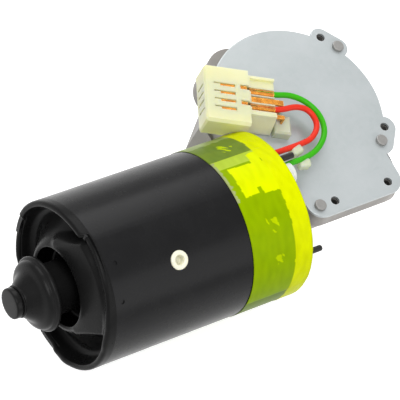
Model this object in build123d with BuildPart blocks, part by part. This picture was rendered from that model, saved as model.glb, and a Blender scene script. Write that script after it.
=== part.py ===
from build123d import *

import os
from math import acos, cos, degrees, pi, radians, sin, tan

os.makedirs("parts", exist_ok=True)

# A vehicle wiper motor: a round permanent-magnet motor, a worm drive in a cast
# gearbox at right angles to it, and an output shaft that turns the wiper crank.
# Origin: on the output shaft's axis, in the plane of the three mounting bosses.
# +Z points out through the cover plate, the output shaft points down, and the
# motor's axis runs along X, with its closed end towards -X. Millimetres.

# Worm drive
worm_module = 1.25
worm_pitch_radius = 5.5
worm_turns = 7
worm_turns_behind = 4
wheel_teeth = 50
pressure_angle = 20.0
flank_play = 0.14
tooth_root_clearance = 0.3
wheel_face = 10.0
park_disc_radius = 26.0

# Shafts
armature_shaft_radius = 4.0
output_shaft_radius = 6.0
shaft_play = 0.05
output_shaft_drop = 39.0
crank_thread_radius = 4.0
crank_thread_length = 12.0
crank_taper_length = 7.0

# Gearbox casting
axis_height = 24.0
cover_top = 38.0
cover_thickness = 1.2
gasket_thickness = 0.5
cover_edge_gap = 0.15
cover_radius = 41.8
bowl_wall = 4.0
wheel_tip_gap = 2.0
bowl_floor_thickness = 4.5
wheel_floor_gap = 1.5
hub_radius = 13.0
hub_drop = 12.0
tunnel_radius = 14.0
worm_gap = 0.65
tunnel_reach = 29.0
mount_circle_radius = 34.0
mount_angle = 103.5
mount_count = 3
mount_boss_radius = 14.2
mount_boss_height = 20.0
mount_hole_radius = 3.4
mount_hole_depth = 16.0
web_reach = 14.4
web_drop = 3.5
web_height = 22.0
rib_thickness = 3.0
rib_end = -16.0
rib_count = 6

# Lower corner of the cover, over the worm
worm_cover_left = -23.8
worm_cover_right = 28.8
worm_cover_edge = -53.7
worm_cover_depth = 8.0
worm_cover_corner = 8.0
flange_cut = 3.0

# Screw holes and rivets of the cover, from the output shaft's axis
cover_hole_radius = 2.1
cover_holes = ((31.0, 29.9), (35.5, -22.3), (21.1, -47.9), (-9.0, -47.8))
cover_rivets_at = ((36.3, 22.6), (29.6, -28.4), (-17.6, -47.8), (-26.5, 27.2))
upper_lug_radii = (5.0, 5.2)
lower_lug_radii = (5.7, 6.4)
rivet_head_radius = 2.75
rivet_head_height = 1.6
rivet_shank_radius = 1.5
rivet_length = 7.0
pilot_radius = 1.7
pilot_depth = 8.0

# Motor
casing_radius = 38.0
casing_wall = 2.2
casing_length = 95.8
flange_face = -39.2
flange_thickness = 8.0
spigot_length = 8.0
spigot_wall = 2.0
tape_thickness = 0.4
tape_length = 30.1

# Rear end shield, measured from the casing's rim, positive into the motor
pad_angle = 123.0
pad_width = 74.0
pad_step = 2.0
hub_front = -5.0
dish_wall = 2.6
dish_lip = 2.2
cap_radius = 16.6
cap_reach = 28.0
cap_tip_radius = 6.9

# Magnets and armature, measured from the casing's rim
magnet_thickness = 7.0
magnet_start = 16.0
magnet_length = 46.0
magnet_angle = 30.0
magnet_span = 116.0
core_start = 20.0
core_length = 38.0
air_gap = 1.0
slot_count = 12
end_turn_length = 6.0
commutator_start = 67.5
commutator_length = 14.5
commutator_radius = 11.0
commutator_bars = 20
rear_shaft_end = -9.0

# Brush gear, angles round the motor's axis from +Y towards +Z
brush_angles = (0.0, 180.0, 240.0)
brush_names = ("common_brush", "low_speed_brush", "high_speed_brush")
spring_names = ("common_brush_spring", "low_speed_brush_spring", "high_speed_brush_spring")
brush_width = 5.0
brush_depth = 8.0
brush_length = 11.5
brush_gap = 0.15
brush_centre = 76.0
brush_plate_thickness = 4.0
brush_plate_gap = 0.2
holder_wall = 0.5
holder_gap = 0.1
holder_start = 13.0
holder_end = 29.5
choke_circle = 24.0
choke_angles = (118.0, 300.0)
choke_length = 15.0
choke_rod_radius = 1.9
choke_wire = 1.1
cutout_at = (-17.0, 19.0)
cutout_size = (4.5, 9.5)
cutout_height = 8.0

# Front ball bearing
bearing_radius = 11.0
bearing_width = 7.0
ball_radius = 1.95
ball_count = 8
ball_gap = 0.06
ring_thickness = 2.0

# Connector, in a frame that lies on the cover and is turned about Z
connector_turn = -27.0
connector_rear = -15.6
connector_rear_length = 12.8
connector_front_length = 21.1
connector_width = 28.6
connector_middle = -6.3
connector_lift = 0.6
connector_height = 11.4
row_middle = -7.1
row_pitch = 4.07
row_count = 4
cavity_width = 3.5
cavity_height = 8.0
cavity_floor = 1.6
connector_bevel = 0.8
front_wall = 1.3
blade_slot = (1.1, 7.0)
side_bevel = 1.3
latch_place = 10.9
latch_length = 7.2
latch_width = 1.7
latch_slit = (3.0, 0.8)
latch_drop = 0.6
rail_drop = 1.3
well_sides = (-12.0, 5.0)
rear_side_far = 6.3
rear_side_high = -14.0
rear_side_low = -17.4
rear_height = 10.4
strip_jog = 0.65
strip_widths = (2.7, 1.9)
strip_thickness = 0.8
strip_reach = 4.3
strip_drop = 0.9
terminal_wall = 0.33
terminal_gap = 0.05
latch_gap = 0.2
crimp_seam = 0.4
crimp_flare = 1.55

# Leads
wire_radius = 1.35
grommet_wall = 0.8
lead_height = 46.8

# Places that follow from the sizes above
wheel_pitch_radius = worm_module * wheel_teeth / 2
centre_distance = worm_pitch_radius + wheel_pitch_radius
thread_pitch = pi * worm_module
worm_tip_radius = worm_pitch_radius + worm_module
wheel_tip_radius = wheel_pitch_radius + worm_module
wheel_root_radius = wheel_pitch_radius - worm_module - tooth_root_clearance
motor_y = -centre_distance
housing_top = cover_top - cover_thickness - gasket_thickness
cover_underside = cover_top - cover_thickness
wheel_bottom = axis_height - wheel_face / 2
wheel_top = axis_height + wheel_face / 2
bowl_radius = wheel_tip_radius + wheel_tip_gap
housing_radius = bowl_radius + bowl_wall
bowl_floor = wheel_bottom - wheel_floor_gap
bowl_underside = bowl_floor - bowl_floor_thickness
tunnel_bore = worm_tip_radius + worm_gap
casing_bore = casing_radius - casing_wall
core_radius = casing_bore - magnet_thickness - air_gap
plate_radius = casing_bore - spigot_wall - brush_plate_gap
tube_end = flange_face - flange_thickness
rim = tube_end - casing_length
output_bush_radius = output_shaft_radius + 2.0
plate_back = tube_end - brush_plate_thickness

motor_axis = Axis((0, motor_y, axis_height), (1, 0, 0))
connector_plane = Plane(origin=(0, 0, cover_top)).rotated((0, 0, connector_turn))


def motor_section(x):
    """The plane across the motor's axis at x, with local x along +Y and local y along +Z."""
    return Plane(origin=(x, motor_y, axis_height), x_dir=(0, 1, 0), z_dir=(1, 0, 0))


def motor_half(angle=90.0):
    """The plane through the motor's axis, with local x along +X and local y outward at an angle."""
    across = (0, -sin(radians(angle)), cos(radians(angle)))
    return Plane(origin=(0, motor_y, axis_height), x_dir=(1, 0, 0), z_dir=across)


def radial_plane(x, angle, radius=0.0):
    """A plane at x whose normal points outward from the motor's axis at an angle, local x along +X."""
    outward = (0, cos(radians(angle)), sin(radians(angle)))
    centre = (x, motor_y + radius * outward[1], axis_height + radius * outward[2])
    return Plane(origin=centre, x_dir=(1, 0, 0), z_dir=outward)


def turned(outline, plane=motor_half(), axis=motor_axis, arc=360.0, mode=Mode.ADD):
    """Turns a closed outline of (along, outward) points about an axis in the part being built."""
    with BuildSketch(plane) as half_section:
        with BuildLine():
            Polyline(*outline, close=True)
        make_face()
    revolve(half_section.sketch, axis=axis, revolution_arc=arc, mode=mode)


def ring(start, end, inner, outer, mode=Mode.ADD):
    """A plain ring about the motor's axis from start to end along X."""
    turned([(start, inner), (end, inner), (end, outer), (start, outer)], mode=mode)


def upright_ring(low, high, inner, outer):
    """A plain ring about the output shaft's axis."""
    outline = [(inner, low), (outer, low), (outer, high), (inner, high)]
    turned(outline, plane=Plane.XZ, axis=Axis.Z)


def hull_lug(hole, hole_radius, rivet, rivet_radius):
    """A lug round a screw hole and a rivet, added to the sketch being built."""
    with BuildSketch() as lug:
        with Locations(hole):
            Circle(hole_radius)
        with Locations(rivet):
            Circle(rivet_radius)
        make_hull()
    add(lug.sketch)


def cover_outline(inset=0.0):
    """The outline of the cover plate, added to the sketch being built."""
    Circle(cover_radius - inset)
    width = worm_cover_right - worm_cover_left - 2 * inset
    height = -worm_cover_edge - 2 * inset
    with Locations(((worm_cover_left + worm_cover_right) / 2, worm_cover_edge / 2)):
        RectangleRounded(width, height, worm_cover_corner - inset)
    hull_lug(cover_holes[0], upper_lug_radii[0] - inset, cover_rivets_at[0], upper_lug_radii[1] - inset)
    hull_lug(cover_holes[1], lower_lug_radii[0] - inset, cover_rivets_at[1], lower_lug_radii[1] - inset)
    with Locations((flange_face + 0.2 + inset, flange_cut)):
        Rectangle(cover_radius, cover_radius, align=(Align.MAX, Align.MAX), mode=Mode.SUBTRACT)


def finish(name, part):
    """Labels a finished piece and writes it."""
    part.label = name
    export_step(part, f"parts/{name}.step")


# Places on the motor flange, from the motor's axis along +Y and +Z
red_lead_at = (15.2, plate_radius - 7.6)
green_lead_at = (6.9, plate_radius - 6.0)
plate_plug_at = (3.6, plate_radius - 7.0)
plate_screws_at = ((10.6, plate_radius - 5.0), (5.4 - plate_radius, 10.2))
plate_screw_radius = 1.4
plate_plug_radius = 5.0
plate_plug_reach = 8.8
plug_slot_radius = 2.6
plate_screw_reach = 13.5
mount_places = [
    (
        mount_circle_radius * cos(radians(mount_angle + 360 / mount_count * index)),
        mount_circle_radius * sin(radians(mount_angle + 360 / mount_count * index)),
    )
    for index in range(mount_count)
]

# Gear housing: one aluminium casting with the gear bowl, worm tunnel and motor flange
with BuildPart() as gear_housing:
    with BuildSketch(Plane.XY.offset(bowl_underside)):
        Circle(housing_radius)
    extrude(amount=housing_top - bowl_underside)
    with BuildSketch(Plane.XY.offset(housing_top - bowl_wall)):
        cover_outline(0.5)
    extrude(amount=bowl_wall)
    with BuildSketch(Plane.XY.offset(housing_top - worm_cover_depth)):
        with Locations(((worm_cover_left + worm_cover_right) / 2, worm_cover_edge / 2)):
            RectangleRounded(worm_cover_right - worm_cover_left - 1, -worm_cover_edge - 1, worm_cover_corner - 0.5)
    extrude(amount=worm_cover_depth)
    ring(flange_face, tunnel_reach, 0, tunnel_radius)
    ring(tube_end, flange_face, 0, casing_radius)
    ring(tube_end - spigot_length, tube_end, casing_bore - spigot_wall, casing_bore)
    with BuildSketch():
        with Locations(*mount_places):
            Circle(mount_boss_radius)
    extrude(amount=mount_boss_height)
    with BuildSketch(Plane.XY.offset(-hub_drop)):
        Circle(hub_radius)
    extrude(amount=hub_drop + bowl_underside)
    with BuildSketch(Plane.XY.offset(axis_height - tunnel_radius - 6)):
        with PolarLocations(hub_radius - 1, rib_count, start_angle=mount_angle):
            Rectangle(housing_radius - hub_radius, rib_thickness, align=(Align.MIN, Align.CENTER))
    extrude(amount=bowl_underside - (axis_height - tunnel_radius - 6) + 1)
    with BuildSketch():
        with BuildLine():
            Polyline(
                (flange_face, web_reach),
                (mount_places[0][0] - mount_boss_radius, mount_places[0][1] - web_drop),
                mount_places[0],
                (flange_face, -web_reach / 3),
                close=True,
            )
        make_face()
    extrude(amount=web_height)
    with BuildSketch(Plane.XZ.offset(-motor_y - rib_thickness / 2)):
        with BuildLine():
            Polyline(
                (flange_face - 1, axis_height - casing_radius + 5),
                (flange_face + 4, axis_height - casing_radius + 5),
                (rib_end, axis_height - tunnel_radius + 2),
                (flange_face - 1, axis_height - tunnel_radius + 2),
                close=True,
            )
        make_face()
    extrude(amount=rib_thickness)
    with BuildSketch(Plane.XY.offset(housing_top)):
        cover_outline(-cover_edge_gap)
    extrude(amount=tunnel_radius, mode=Mode.SUBTRACT)
    with BuildSketch(Plane.XY.offset(bowl_floor)):
        Circle(bowl_radius)
    extrude(amount=housing_top - bowl_floor, mode=Mode.SUBTRACT)
    ring(flange_face - 1, tunnel_reach - 7, 0, tunnel_bore, mode=Mode.SUBTRACT)
    ring(tunnel_reach - 8, tunnel_reach + 1, 0, armature_shaft_radius, mode=Mode.SUBTRACT)
    ring(tube_end - 1, tube_end + bearing_width, 0, bearing_radius, mode=Mode.SUBTRACT)
    with BuildSketch(Plane.XY.offset(-hub_drop)):
        Circle(output_bush_radius)
    extrude(amount=hub_drop + bowl_floor, mode=Mode.SUBTRACT)
    with BuildSketch():
        with Locations(*mount_places):
            Circle(mount_hole_radius)
    extrude(amount=mount_hole_depth, mode=Mode.SUBTRACT)
    with BuildSketch(Plane.XY.offset(housing_top - pilot_depth)):
        with Locations(*cover_holes):
            Circle(pilot_radius)
        with Locations(*cover_rivets_at):
            Circle(rivet_shank_radius)
    extrude(amount=pilot_depth, mode=Mode.SUBTRACT)
    with BuildSketch(motor_section(tube_end)):
        with Locations(*plate_screws_at):
            Circle(plate_screw_radius)
        with Locations(red_lead_at, green_lead_at):
            Circle(wire_radius + grommet_wall)
        with Locations(plate_plug_at):
            Circle(plate_plug_radius)
    extrude(amount=flange_thickness, mode=Mode.SUBTRACT)
finish("gear_housing", gear_housing.part)

# Gasket between the casting and the cover
with BuildPart() as cover_gasket:
    with BuildSketch(Plane.XY.offset(housing_top)):
        cover_outline(0.7)
        Circle(bowl_radius, mode=Mode.SUBTRACT)
        with Locations(*cover_holes):
            Circle(cover_hole_radius, mode=Mode.SUBTRACT)
        with Locations(*cover_rivets_at):
            Circle(rivet_shank_radius, mode=Mode.SUBTRACT)
    extrude(amount=gasket_thickness)
finish("cover_gasket", cover_gasket.part)

# Foot of the terminals, standing through a window in the cover
foot_blocks = (((-10.6, -13.3), (8.0, 9.4), 5.0), ((-11.7, -5.5), (4.4, 6.4), 1.2))
window_play = 0.1

with BuildPart() as cover_plate:
    with BuildSketch(Plane.XY.offset(cover_underside)):
        cover_outline()
        with Locations(*cover_holes):
            Circle(cover_hole_radius, mode=Mode.SUBTRACT)
        with Locations(*cover_rivets_at):
            Circle(rivet_shank_radius, mode=Mode.SUBTRACT)
    extrude(amount=cover_thickness)
    for middle, size, height in foot_blocks:
        with BuildSketch(connector_plane):
            with Locations(middle):
                Rectangle(size[0] - 2, size[1] - 2)
        extrude(amount=-cover_thickness, mode=Mode.SUBTRACT)
    fillet(cover_plate.faces().sort_by(Axis.Z)[-1].outer_wire().edges(), 0.4)
finish("cover_plate", cover_plate.part)

with BuildPart() as cover_rivets:
    rivet_base = cover_top - rivet_length
    for place in cover_rivets_at:
        with BuildSketch(Plane.XY.offset(rivet_base)):
            with Locations(place):
                Circle(rivet_shank_radius)
        extrude(amount=rivet_length)
        with BuildSketch(Plane.XY.offset(cover_top)):
            with Locations(place):
                Circle(rivet_head_radius)
        extrude(amount=rivet_head_height)
    fillet(cover_rivets.faces().group_by(Axis.Z)[-1].edges(), 0.5)
finish("cover_rivets", cover_rivets.part)

# Motor casing: a drawn steel tube with a vent hole and two shallow cut-outs at its rim
vent_angle = 120.1
vent_place = rim + 37.0
vent_hole_radius = 2.6
stake_places = ((7.2, 108.0), (6.1, 133.2), (7.2, 288.0), (6.1, 313.2))
stake_radius = 1.0
stake_depth = 0.5

with BuildPart() as motor_casing:
    ring(rim, tube_end, casing_bore, casing_radius)
    for side in (0, 180):
        cut = [
            (rim - 1, casing_bore - 1),
            (rim + pad_step, casing_bore - 1),
            (rim + pad_step, casing_radius + 1),
            (rim - 1, casing_radius + 1),
        ]
        start = pad_angle + side - pad_width / 2
        turned(cut, plane=motor_half(start), arc=pad_width, mode=Mode.SUBTRACT)
    with BuildSketch(radial_plane(vent_place, vent_angle, casing_bore - 3)):
        Circle(vent_hole_radius)
    extrude(amount=8, mode=Mode.SUBTRACT)
    for along, angle in stake_places:
        with BuildSketch(radial_plane(rim + along, angle, casing_radius - stake_depth)):
            Circle(stake_radius)
        extrude(amount=2 * stake_depth, mode=Mode.SUBTRACT)
finish("motor_casing", motor_casing.part)

# Vent eyelet: a nylon sleeve with a thin collar
with BuildPart() as vent_eyelet:
    with BuildSketch(radial_plane(vent_place, vent_angle, casing_bore - 1)):
        Circle(vent_hole_radius)
        Circle(vent_hole_radius - 1.1, mode=Mode.SUBTRACT)
    extrude(amount=casing_wall + 1.8)
    with BuildSketch(radial_plane(vent_place, vent_angle, casing_radius)):
        Circle(4.3)
        Circle(vent_hole_radius - 1.1, mode=Mode.SUBTRACT)
    extrude(amount=0.9)
finish("vent_eyelet", vent_eyelet.part)

# Tape wound over the joint between the casing and the gearbox flange
with BuildPart() as joint_tape:
    ring(flange_face - tape_length, flange_face, casing_radius, casing_radius + tape_thickness)
finish("joint_tape", joint_tape.part)

# Rear end shield: a pressed dish with two raised pads that reach through the rim
bush_bore = 8.0
with BuildPart() as end_shield:
    turned([
        (rim + 1.5, casing_bore),
        (rim + 12.0, casing_bore),
        (rim + 12.0, casing_bore - dish_wall),
        (rim + 10.5, casing_bore - dish_wall),
        (rim + 10.5, 17.6),
        (rim - 2.3, 16.6),
        (rim - 2.3, 11.5),
        (rim + 12.0, 11.5),
        (rim + 12.0, bush_bore),
        (rim - 1.5, bush_bore),
        (rim - 1.5, 5.0),
        (rim + hub_front, 5.0),
        (rim + hub_front, 18.0),
        (rim + 8.0, 20.0),
        (rim + 8.0, casing_bore - 2 * dish_wall),
        (rim + 5.0, casing_bore - dish_wall),
        (rim + 1.5, casing_bore - dish_lip),
    ])
    for side in (0, 180):
        pad = [
            (rim + pad_step, casing_radius - 0.8),
            (rim - 0.4, casing_radius - 0.8),
            (rim - 1.0, casing_radius - 3.0),
            (rim - 3.6, 18.0),
            (rim + 8.5, 19.0),
            (rim + 8.5, casing_bore),
            (rim + pad_step, casing_bore),
        ]
        start = pad_angle + side - pad_width / 2 + 0.5
        turned(pad, plane=motor_half(start), arc=pad_width - 1.0)
finish("end_shield", end_shield.part)

# Bearing cap: the moulded snout over the rear bearing
with BuildPart() as bearing_cap:
    with BuildSketch(motor_half()) as cap_section:
        with BuildLine():
            shoulder = rim + hub_front - 7.5
            barrel = Line((rim + hub_front, cap_radius - 0.3), (shoulder, cap_radius))
            crown = ThreePointArc(barrel @ 1, (shoulder - 4.4, cap_radius - 1.9), (shoulder - 6.0, 12.6))
            flare = ThreePointArc(crown @ 1, (shoulder - 6.9, 10.2), (shoulder - 9.5, 8.5))
            neck = Line(flare @ 1, (rim - cap_reach + 3.4, cap_tip_radius))
            groove_in = Line(neck @ 1, (rim - cap_reach + 3.1, cap_tip_radius - 0.8))
            groove = Line(groove_in @ 1, (rim - cap_reach + 2.6, cap_tip_radius - 0.8))
            groove_out = Line(groove @ 1, (rim - cap_reach + 2.3, cap_tip_radius))
            button = Line(groove_out @ 1, (rim - cap_reach + 0.6, cap_tip_radius))
            bevel = Line(button @ 1, (rim - cap_reach, cap_tip_radius - 0.6))
            tip = Line(bevel @ 1, (rim - cap_reach, 0))
            Polyline(
                tip @ 1,
                (rim - cap_reach + 6, 0),
                (rim - cap_reach + 6, 4.4),
                (shoulder - 4.0, 6.5),
                (shoulder, 13.3),
                (rim + hub_front, 13.3),
                barrel @ 0,
            )
        make_face()
    revolve(axis=motor_axis)
finish("bearing_cap", bearing_cap.part)

# Magnets: two arcs bonded to the casing's bore
with BuildPart() as magnets:
    for side in (0, 180):
        section = [
            (rim + magnet_start, casing_bore - magnet_thickness),
            (rim + magnet_start + magnet_length, casing_bore - magnet_thickness),
            (rim + magnet_start + magnet_length, casing_bore),
            (rim + magnet_start, casing_bore),
        ]
        start = magnet_angle + side - magnet_span / 2
        turned(section, plane=motor_half(start), arc=magnet_span)
finish("magnets", magnets.part)

# Rear bush and its retainer
with BuildPart() as rear_bush:
    ring(rim - 1.5, rim + 9.0, armature_shaft_radius + shaft_play, bush_bore)
    chamfer(rear_bush.edges().filter_by(GeomType.CIRCLE), 0.4)
finish("rear_bush", rear_bush.part)

with BuildPart() as bush_retainer:
    ring(rim + 9.0, rim + 10.0, armature_shaft_radius + 1.0, bush_bore)
finish("bush_retainer", bush_retainer.part)

# Armature shaft with its worm, cut in the steel of the shaft
worm_start = (0.25 - worm_turns_behind) * thread_pitch
half_thread = thread_pitch / 4 - flank_play
flank_slope = tan(radians(pressure_angle))
thread_root = armature_shaft_radius - 0.15
shaft_front = tunnel_reach - 2.6

with BuildPart() as armature_shaft:
    ring(rim + rear_shaft_end, shaft_front, 0, armature_shaft_radius)
    thread_centre = (worm_start, motor_y, axis_height)
    with BuildLine() as thread_path:
        Helix(thread_pitch, worm_turns * thread_pitch, worm_pitch_radius, center=thread_centre, direction=(1, 0, 0))
    thread_plane = Plane(origin=thread_centre, x_dir=(1, 0, 0), z_dir=(0, -1, 0))
    with BuildSketch(thread_plane) as thread_section:
        with BuildLine():
            root_half = half_thread + flank_slope * (worm_pitch_radius - thread_root)
            tip_half = half_thread - flank_slope * worm_module
            Polyline(
                (-root_half, thread_root),
                (-tip_half, worm_tip_radius),
                (tip_half, worm_tip_radius),
                (root_half, thread_root),
                close=True,
            )
        make_face()
    sweep(sections=thread_section.sketch, path=thread_path.line, is_frenet=True)
finish("armature_shaft", armature_shaft.part)

# Armature core: a stack of slotted steel stampings
slot_depth = 14.0
slot_width = 7.0
slot_mouth = 2.2
slot_middle = core_radius - 2.0 - slot_depth / 2

with BuildPart() as armature_core:
    with BuildSketch(motor_section(rim + core_start)):
        Circle(core_radius)
        Circle(armature_shaft_radius, mode=Mode.SUBTRACT)
        with PolarLocations(slot_middle, slot_count):
            Trapezoid(
                slot_depth, slot_width, 80, rotation=90, mode=Mode.SUBTRACT
            )
        with PolarLocations(core_radius - 1.5, slot_count):
            Rectangle(5.0, slot_mouth, mode=Mode.SUBTRACT)
    extrude(amount=core_length)
finish("armature_core", armature_core.part)

# Armature winding: copper in the slots, joined by a domed bundle at each end
with BuildPart() as armature_winding:
    fill_gap = 0.4
    with BuildSketch(motor_section(rim + core_start)):
        with PolarLocations(slot_middle, slot_count):
            Trapezoid(slot_depth - 2 * fill_gap, slot_width - 2 * fill_gap - 1.4, 80, rotation=90)
    extrude(amount=core_length)
    for face, away in ((rim + core_start, -1), (rim + core_start + core_length, 1)):
        with BuildSketch(motor_half()) as bundle:
            with BuildLine():
                root = (face, slot_middle - slot_depth / 2)
                bulge = (face + away * end_turn_length, slot_middle + 0.5)
                outer = (face, slot_middle + slot_depth / 2)
                ThreePointArc(root, bulge, outer)
                Line(outer, root)
            make_face()
        revolve(bundle.sketch, axis=motor_axis)
finish("armature_winding", armature_winding.part)

# Commutator: copper bars on a moulded hub
commutator_hub_radius = 7.5
bar_slot = 0.5
with BuildPart() as commutator:
    start = rim + commutator_start
    turned([
        (start, commutator_hub_radius),
        (start + commutator_length, commutator_hub_radius),
        (start + commutator_length, commutator_radius),
        (start + 2.0, commutator_radius),
        (start + 2.0, commutator_radius + 1.6),
        (start, commutator_radius + 1.6),
    ])
    with BuildSketch(motor_section(start)):
        with PolarLocations(commutator_radius + 1.0, commutator_bars):
            Rectangle(3.4, bar_slot)
    extrude(amount=commutator_length, mode=Mode.SUBTRACT)
finish("commutator", commutator.part)

with BuildPart() as commutator_hub:
    ring(start - 1.0, start + commutator_length + 0.8, armature_shaft_radius, commutator_hub_radius)
finish("commutator_hub", commutator_hub.part)

# Brush plate: a nylon disc on the flange, with a pillar under each holder and a plug through the flange
holder_half_depth = brush_depth / 2 + holder_gap + holder_wall
holder_half_width = brush_width / 2 + holder_gap + holder_wall
holder_front = rim + brush_centre + holder_half_depth

with BuildPart() as brush_plate:
    ring(plate_back, tube_end, bearing_radius + 1.5, plate_radius)
    for angle in brush_angles:
        pillar_plane = radial_plane(0, angle, holder_start + 2.0)
        with BuildSketch(pillar_plane):
            with BuildLine():
                Polyline(
                    (holder_front, -holder_half_width),
                    (plate_back + 1, -holder_half_width - 1),
                    (plate_back + 1, holder_half_width + 1),
                    (holder_front, holder_half_width),
                    close=True,
                )
            make_face()
        extrude(amount=holder_end - holder_start - 3.0)
    with BuildSketch(motor_section(tube_end)):
        with Locations(plate_plug_at):
            Circle(plate_plug_radius)
    extrude(amount=plate_plug_reach + flange_thickness)
    plug_face = brush_plate.faces().sort_by(Axis.X)[-1]
    fillet(plug_face.edges(), 0.8)
    with BuildSketch(motor_section(plate_back)):
        with Locations(*plate_screws_at):
            Circle(plate_screw_radius)
        with Locations(red_lead_at, green_lead_at):
            Circle(wire_radius + shaft_play)
    extrude(amount=brush_plate_thickness, mode=Mode.SUBTRACT)
    with BuildSketch(motor_section(tube_end)):
        with Locations(green_lead_at):
            Circle(wire_radius + grommet_wall)
    extrude(amount=flange_thickness, mode=Mode.SUBTRACT)
    with BuildSketch(motor_section(flange_face)):
        with Locations(green_lead_at):
            Circle(plug_slot_radius)
    extrude(amount=plate_plug_reach, mode=Mode.SUBTRACT)
finish("brush_plate", brush_plate.part)

# Two long screws hold the brush plate and stand out of the flange
with BuildPart() as brush_plate_screws:
    for place in plate_screws_at:
        with BuildSketch(motor_section(plate_back)):
            with Locations(place):
                Circle(plate_screw_radius)
        extrude(amount=brush_plate_thickness + flange_thickness + plate_screw_reach)
        with BuildSketch(motor_section(plate_back - 2.0)):
            with Locations(place):
                Circle(plate_screw_radius + 1.3)
        extrude(amount=2.0)
    tips = brush_plate_screws.faces().filter_by(Axis.X).group_by(Axis.X)[-1]
    fillet(tips.edges(), 0.9)
finish("brush_plate_screws", brush_plate_screws.part)

# Brush holders: brass box guides, each open towards the commutator
with BuildPart() as brush_holders:
    for angle in brush_angles:
        with BuildSketch(radial_plane(rim + brush_centre, angle, holder_start)):
            Rectangle(2 * holder_half_depth, 2 * holder_half_width)
        extrude(amount=holder_end - holder_start)
        with BuildSketch(radial_plane(rim + brush_centre, angle, holder_start)):
            Rectangle(brush_depth + 2 * holder_gap, brush_width + 2 * holder_gap)
        extrude(amount=holder_end - holder_start - holder_wall, mode=Mode.SUBTRACT)
finish("brush_holders", brush_holders.part)

# Brushes, each with a face hollowed to the commutator, and their coil springs
brush_foot = commutator_radius + brush_gap
spring_start = commutator_radius + brush_length
spring_room = holder_end - holder_wall - spring_start
spring_radius = 1.7
spring_wire = 0.28
for name, spring_name, angle in zip(brush_names, spring_names, brush_angles):
    with BuildPart() as brush:
        with BuildSketch(radial_plane(rim + brush_centre, angle, commutator_radius - 1.5)):
            Rectangle(brush_depth, brush_width)
        extrude(amount=brush_length + 1.5)
        ring(rim + brush_centre - brush_depth, rim + brush_centre + brush_depth, 0, brush_foot, mode=Mode.SUBTRACT)
    finish(name, brush.part)

    with BuildPart() as spring:
        coil_base = radial_plane(rim + brush_centre, angle, spring_start + 1.2 * spring_wire)
        coil_length = spring_room - 2.4 * spring_wire
        with BuildLine() as coil:
            Helix(coil_length / 4, coil_length, spring_radius, center=coil_base.origin, direction=coil_base.z_dir)
        with BuildSketch(Plane(origin=coil.line @ 0, z_dir=coil.line % 0)) as wire_section:
            Circle(spring_wire)
        sweep(sections=wire_section.sketch, path=coil.line, is_frenet=True)
    finish(spring_name, spring.part)

# Chokes: two wire coils on ferrite rods, standing on the brush plate
choke_places = [(choke_circle * cos(radians(angle)), choke_circle * sin(radians(angle))) for angle in choke_angles]
with BuildPart() as chokes:
    for place in choke_places:
        with BuildSketch(motor_section(plate_back - choke_length)):
            with Locations(place):
                Circle(choke_rod_radius)
        extrude(amount=choke_length)
        for turn in range(8):
            with BuildSketch(motor_section(plate_back - 2 * choke_wire - 1.4 * choke_wire * turn)):
                with Locations(place):
                    Circle(choke_rod_radius + choke_wire)
            extrude(amount=choke_wire)
finish("chokes", chokes.part)

# Thermal cut-out on the brush plate
with BuildPart() as thermal_cutout:
    with BuildSketch(motor_section(plate_back - cutout_height)):
        with Locations(cutout_at):
            RectangleRounded(*cutout_size, 0.8, rotation=40)
    extrude(amount=cutout_height)
finish("thermal_cutout", thermal_cutout.part)

# Front ball bearing, pressed on the shaft in front of the brush plate
bearing_start = tube_end
groove_radius = ball_radius + ball_gap
ball_circle = (bearing_radius + armature_shaft_radius) / 2
ball_place = bearing_start + bearing_width / 2

with BuildPart() as bearing_outer_ring:
    ring(bearing_start, bearing_start + bearing_width, bearing_radius - ring_thickness, bearing_radius)
    with BuildSketch(motor_half()):
        with Locations((ball_place, ball_circle)):
            Circle(groove_radius)
    revolve(axis=motor_axis, mode=Mode.SUBTRACT)
finish("bearing_outer_ring", bearing_outer_ring.part)

with BuildPart() as bearing_inner_ring:
    inner_land = armature_shaft_radius + ring_thickness
    ring(bearing_start, bearing_start + bearing_width, armature_shaft_radius, inner_land)
    with BuildSketch(motor_half()):
        with Locations((ball_place, ball_circle)):
            Circle(groove_radius)
    revolve(axis=motor_axis, mode=Mode.SUBTRACT)
finish("bearing_inner_ring", bearing_inner_ring.part)

with BuildPart() as bearing_balls:
    for index in range(ball_count):
        angle = 360 / ball_count * index
        with Locations(radial_plane(ball_place, angle, ball_circle)):
            Sphere(ball_radius)
finish("bearing_balls", bearing_balls.part)

with BuildPart() as ball_cage:
    ring(ball_place + 0.4, ball_place + 2.2, ball_circle - 0.9, ball_circle + 0.9)
    for index in range(ball_count):
        angle = 360 / ball_count * index
        with Locations(radial_plane(ball_place, angle, ball_circle)):
            Sphere(ball_radius, mode=Mode.SUBTRACT)
finish("ball_cage", ball_cage.part)

# Bush at the worm's far end, thrust pad, adjusting screw and locknut
with BuildPart() as worm_end_bush:
    ring(tunnel_reach - 14.0, tunnel_reach - 7.0, armature_shaft_radius + shaft_play, tunnel_bore)
finish("worm_end_bush", worm_end_bush.part)

with BuildPart() as thrust_pad:
    ring(shaft_front + 0.1, shaft_front + 1.6, 0, armature_shaft_radius - 0.5)
finish("thrust_pad", thrust_pad.part)

with BuildPart() as thrust_screw:
    ring(shaft_front + 1.6, tunnel_reach + 5.5, 0, armature_shaft_radius)
    with BuildSketch(motor_section(tunnel_reach + 4.5)):
        Rectangle(1.2, 9.0)
    extrude(amount=1.0, mode=Mode.SUBTRACT)
finish("thrust_screw", thrust_screw.part)

with BuildPart() as thrust_locknut:
    with BuildSketch(motor_section(tunnel_reach)):
        RegularPolygon(7.5, 6)
        Circle(armature_shaft_radius, mode=Mode.SUBTRACT)
    extrude(amount=3.5)
finish("thrust_locknut", thrust_locknut.part)

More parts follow.
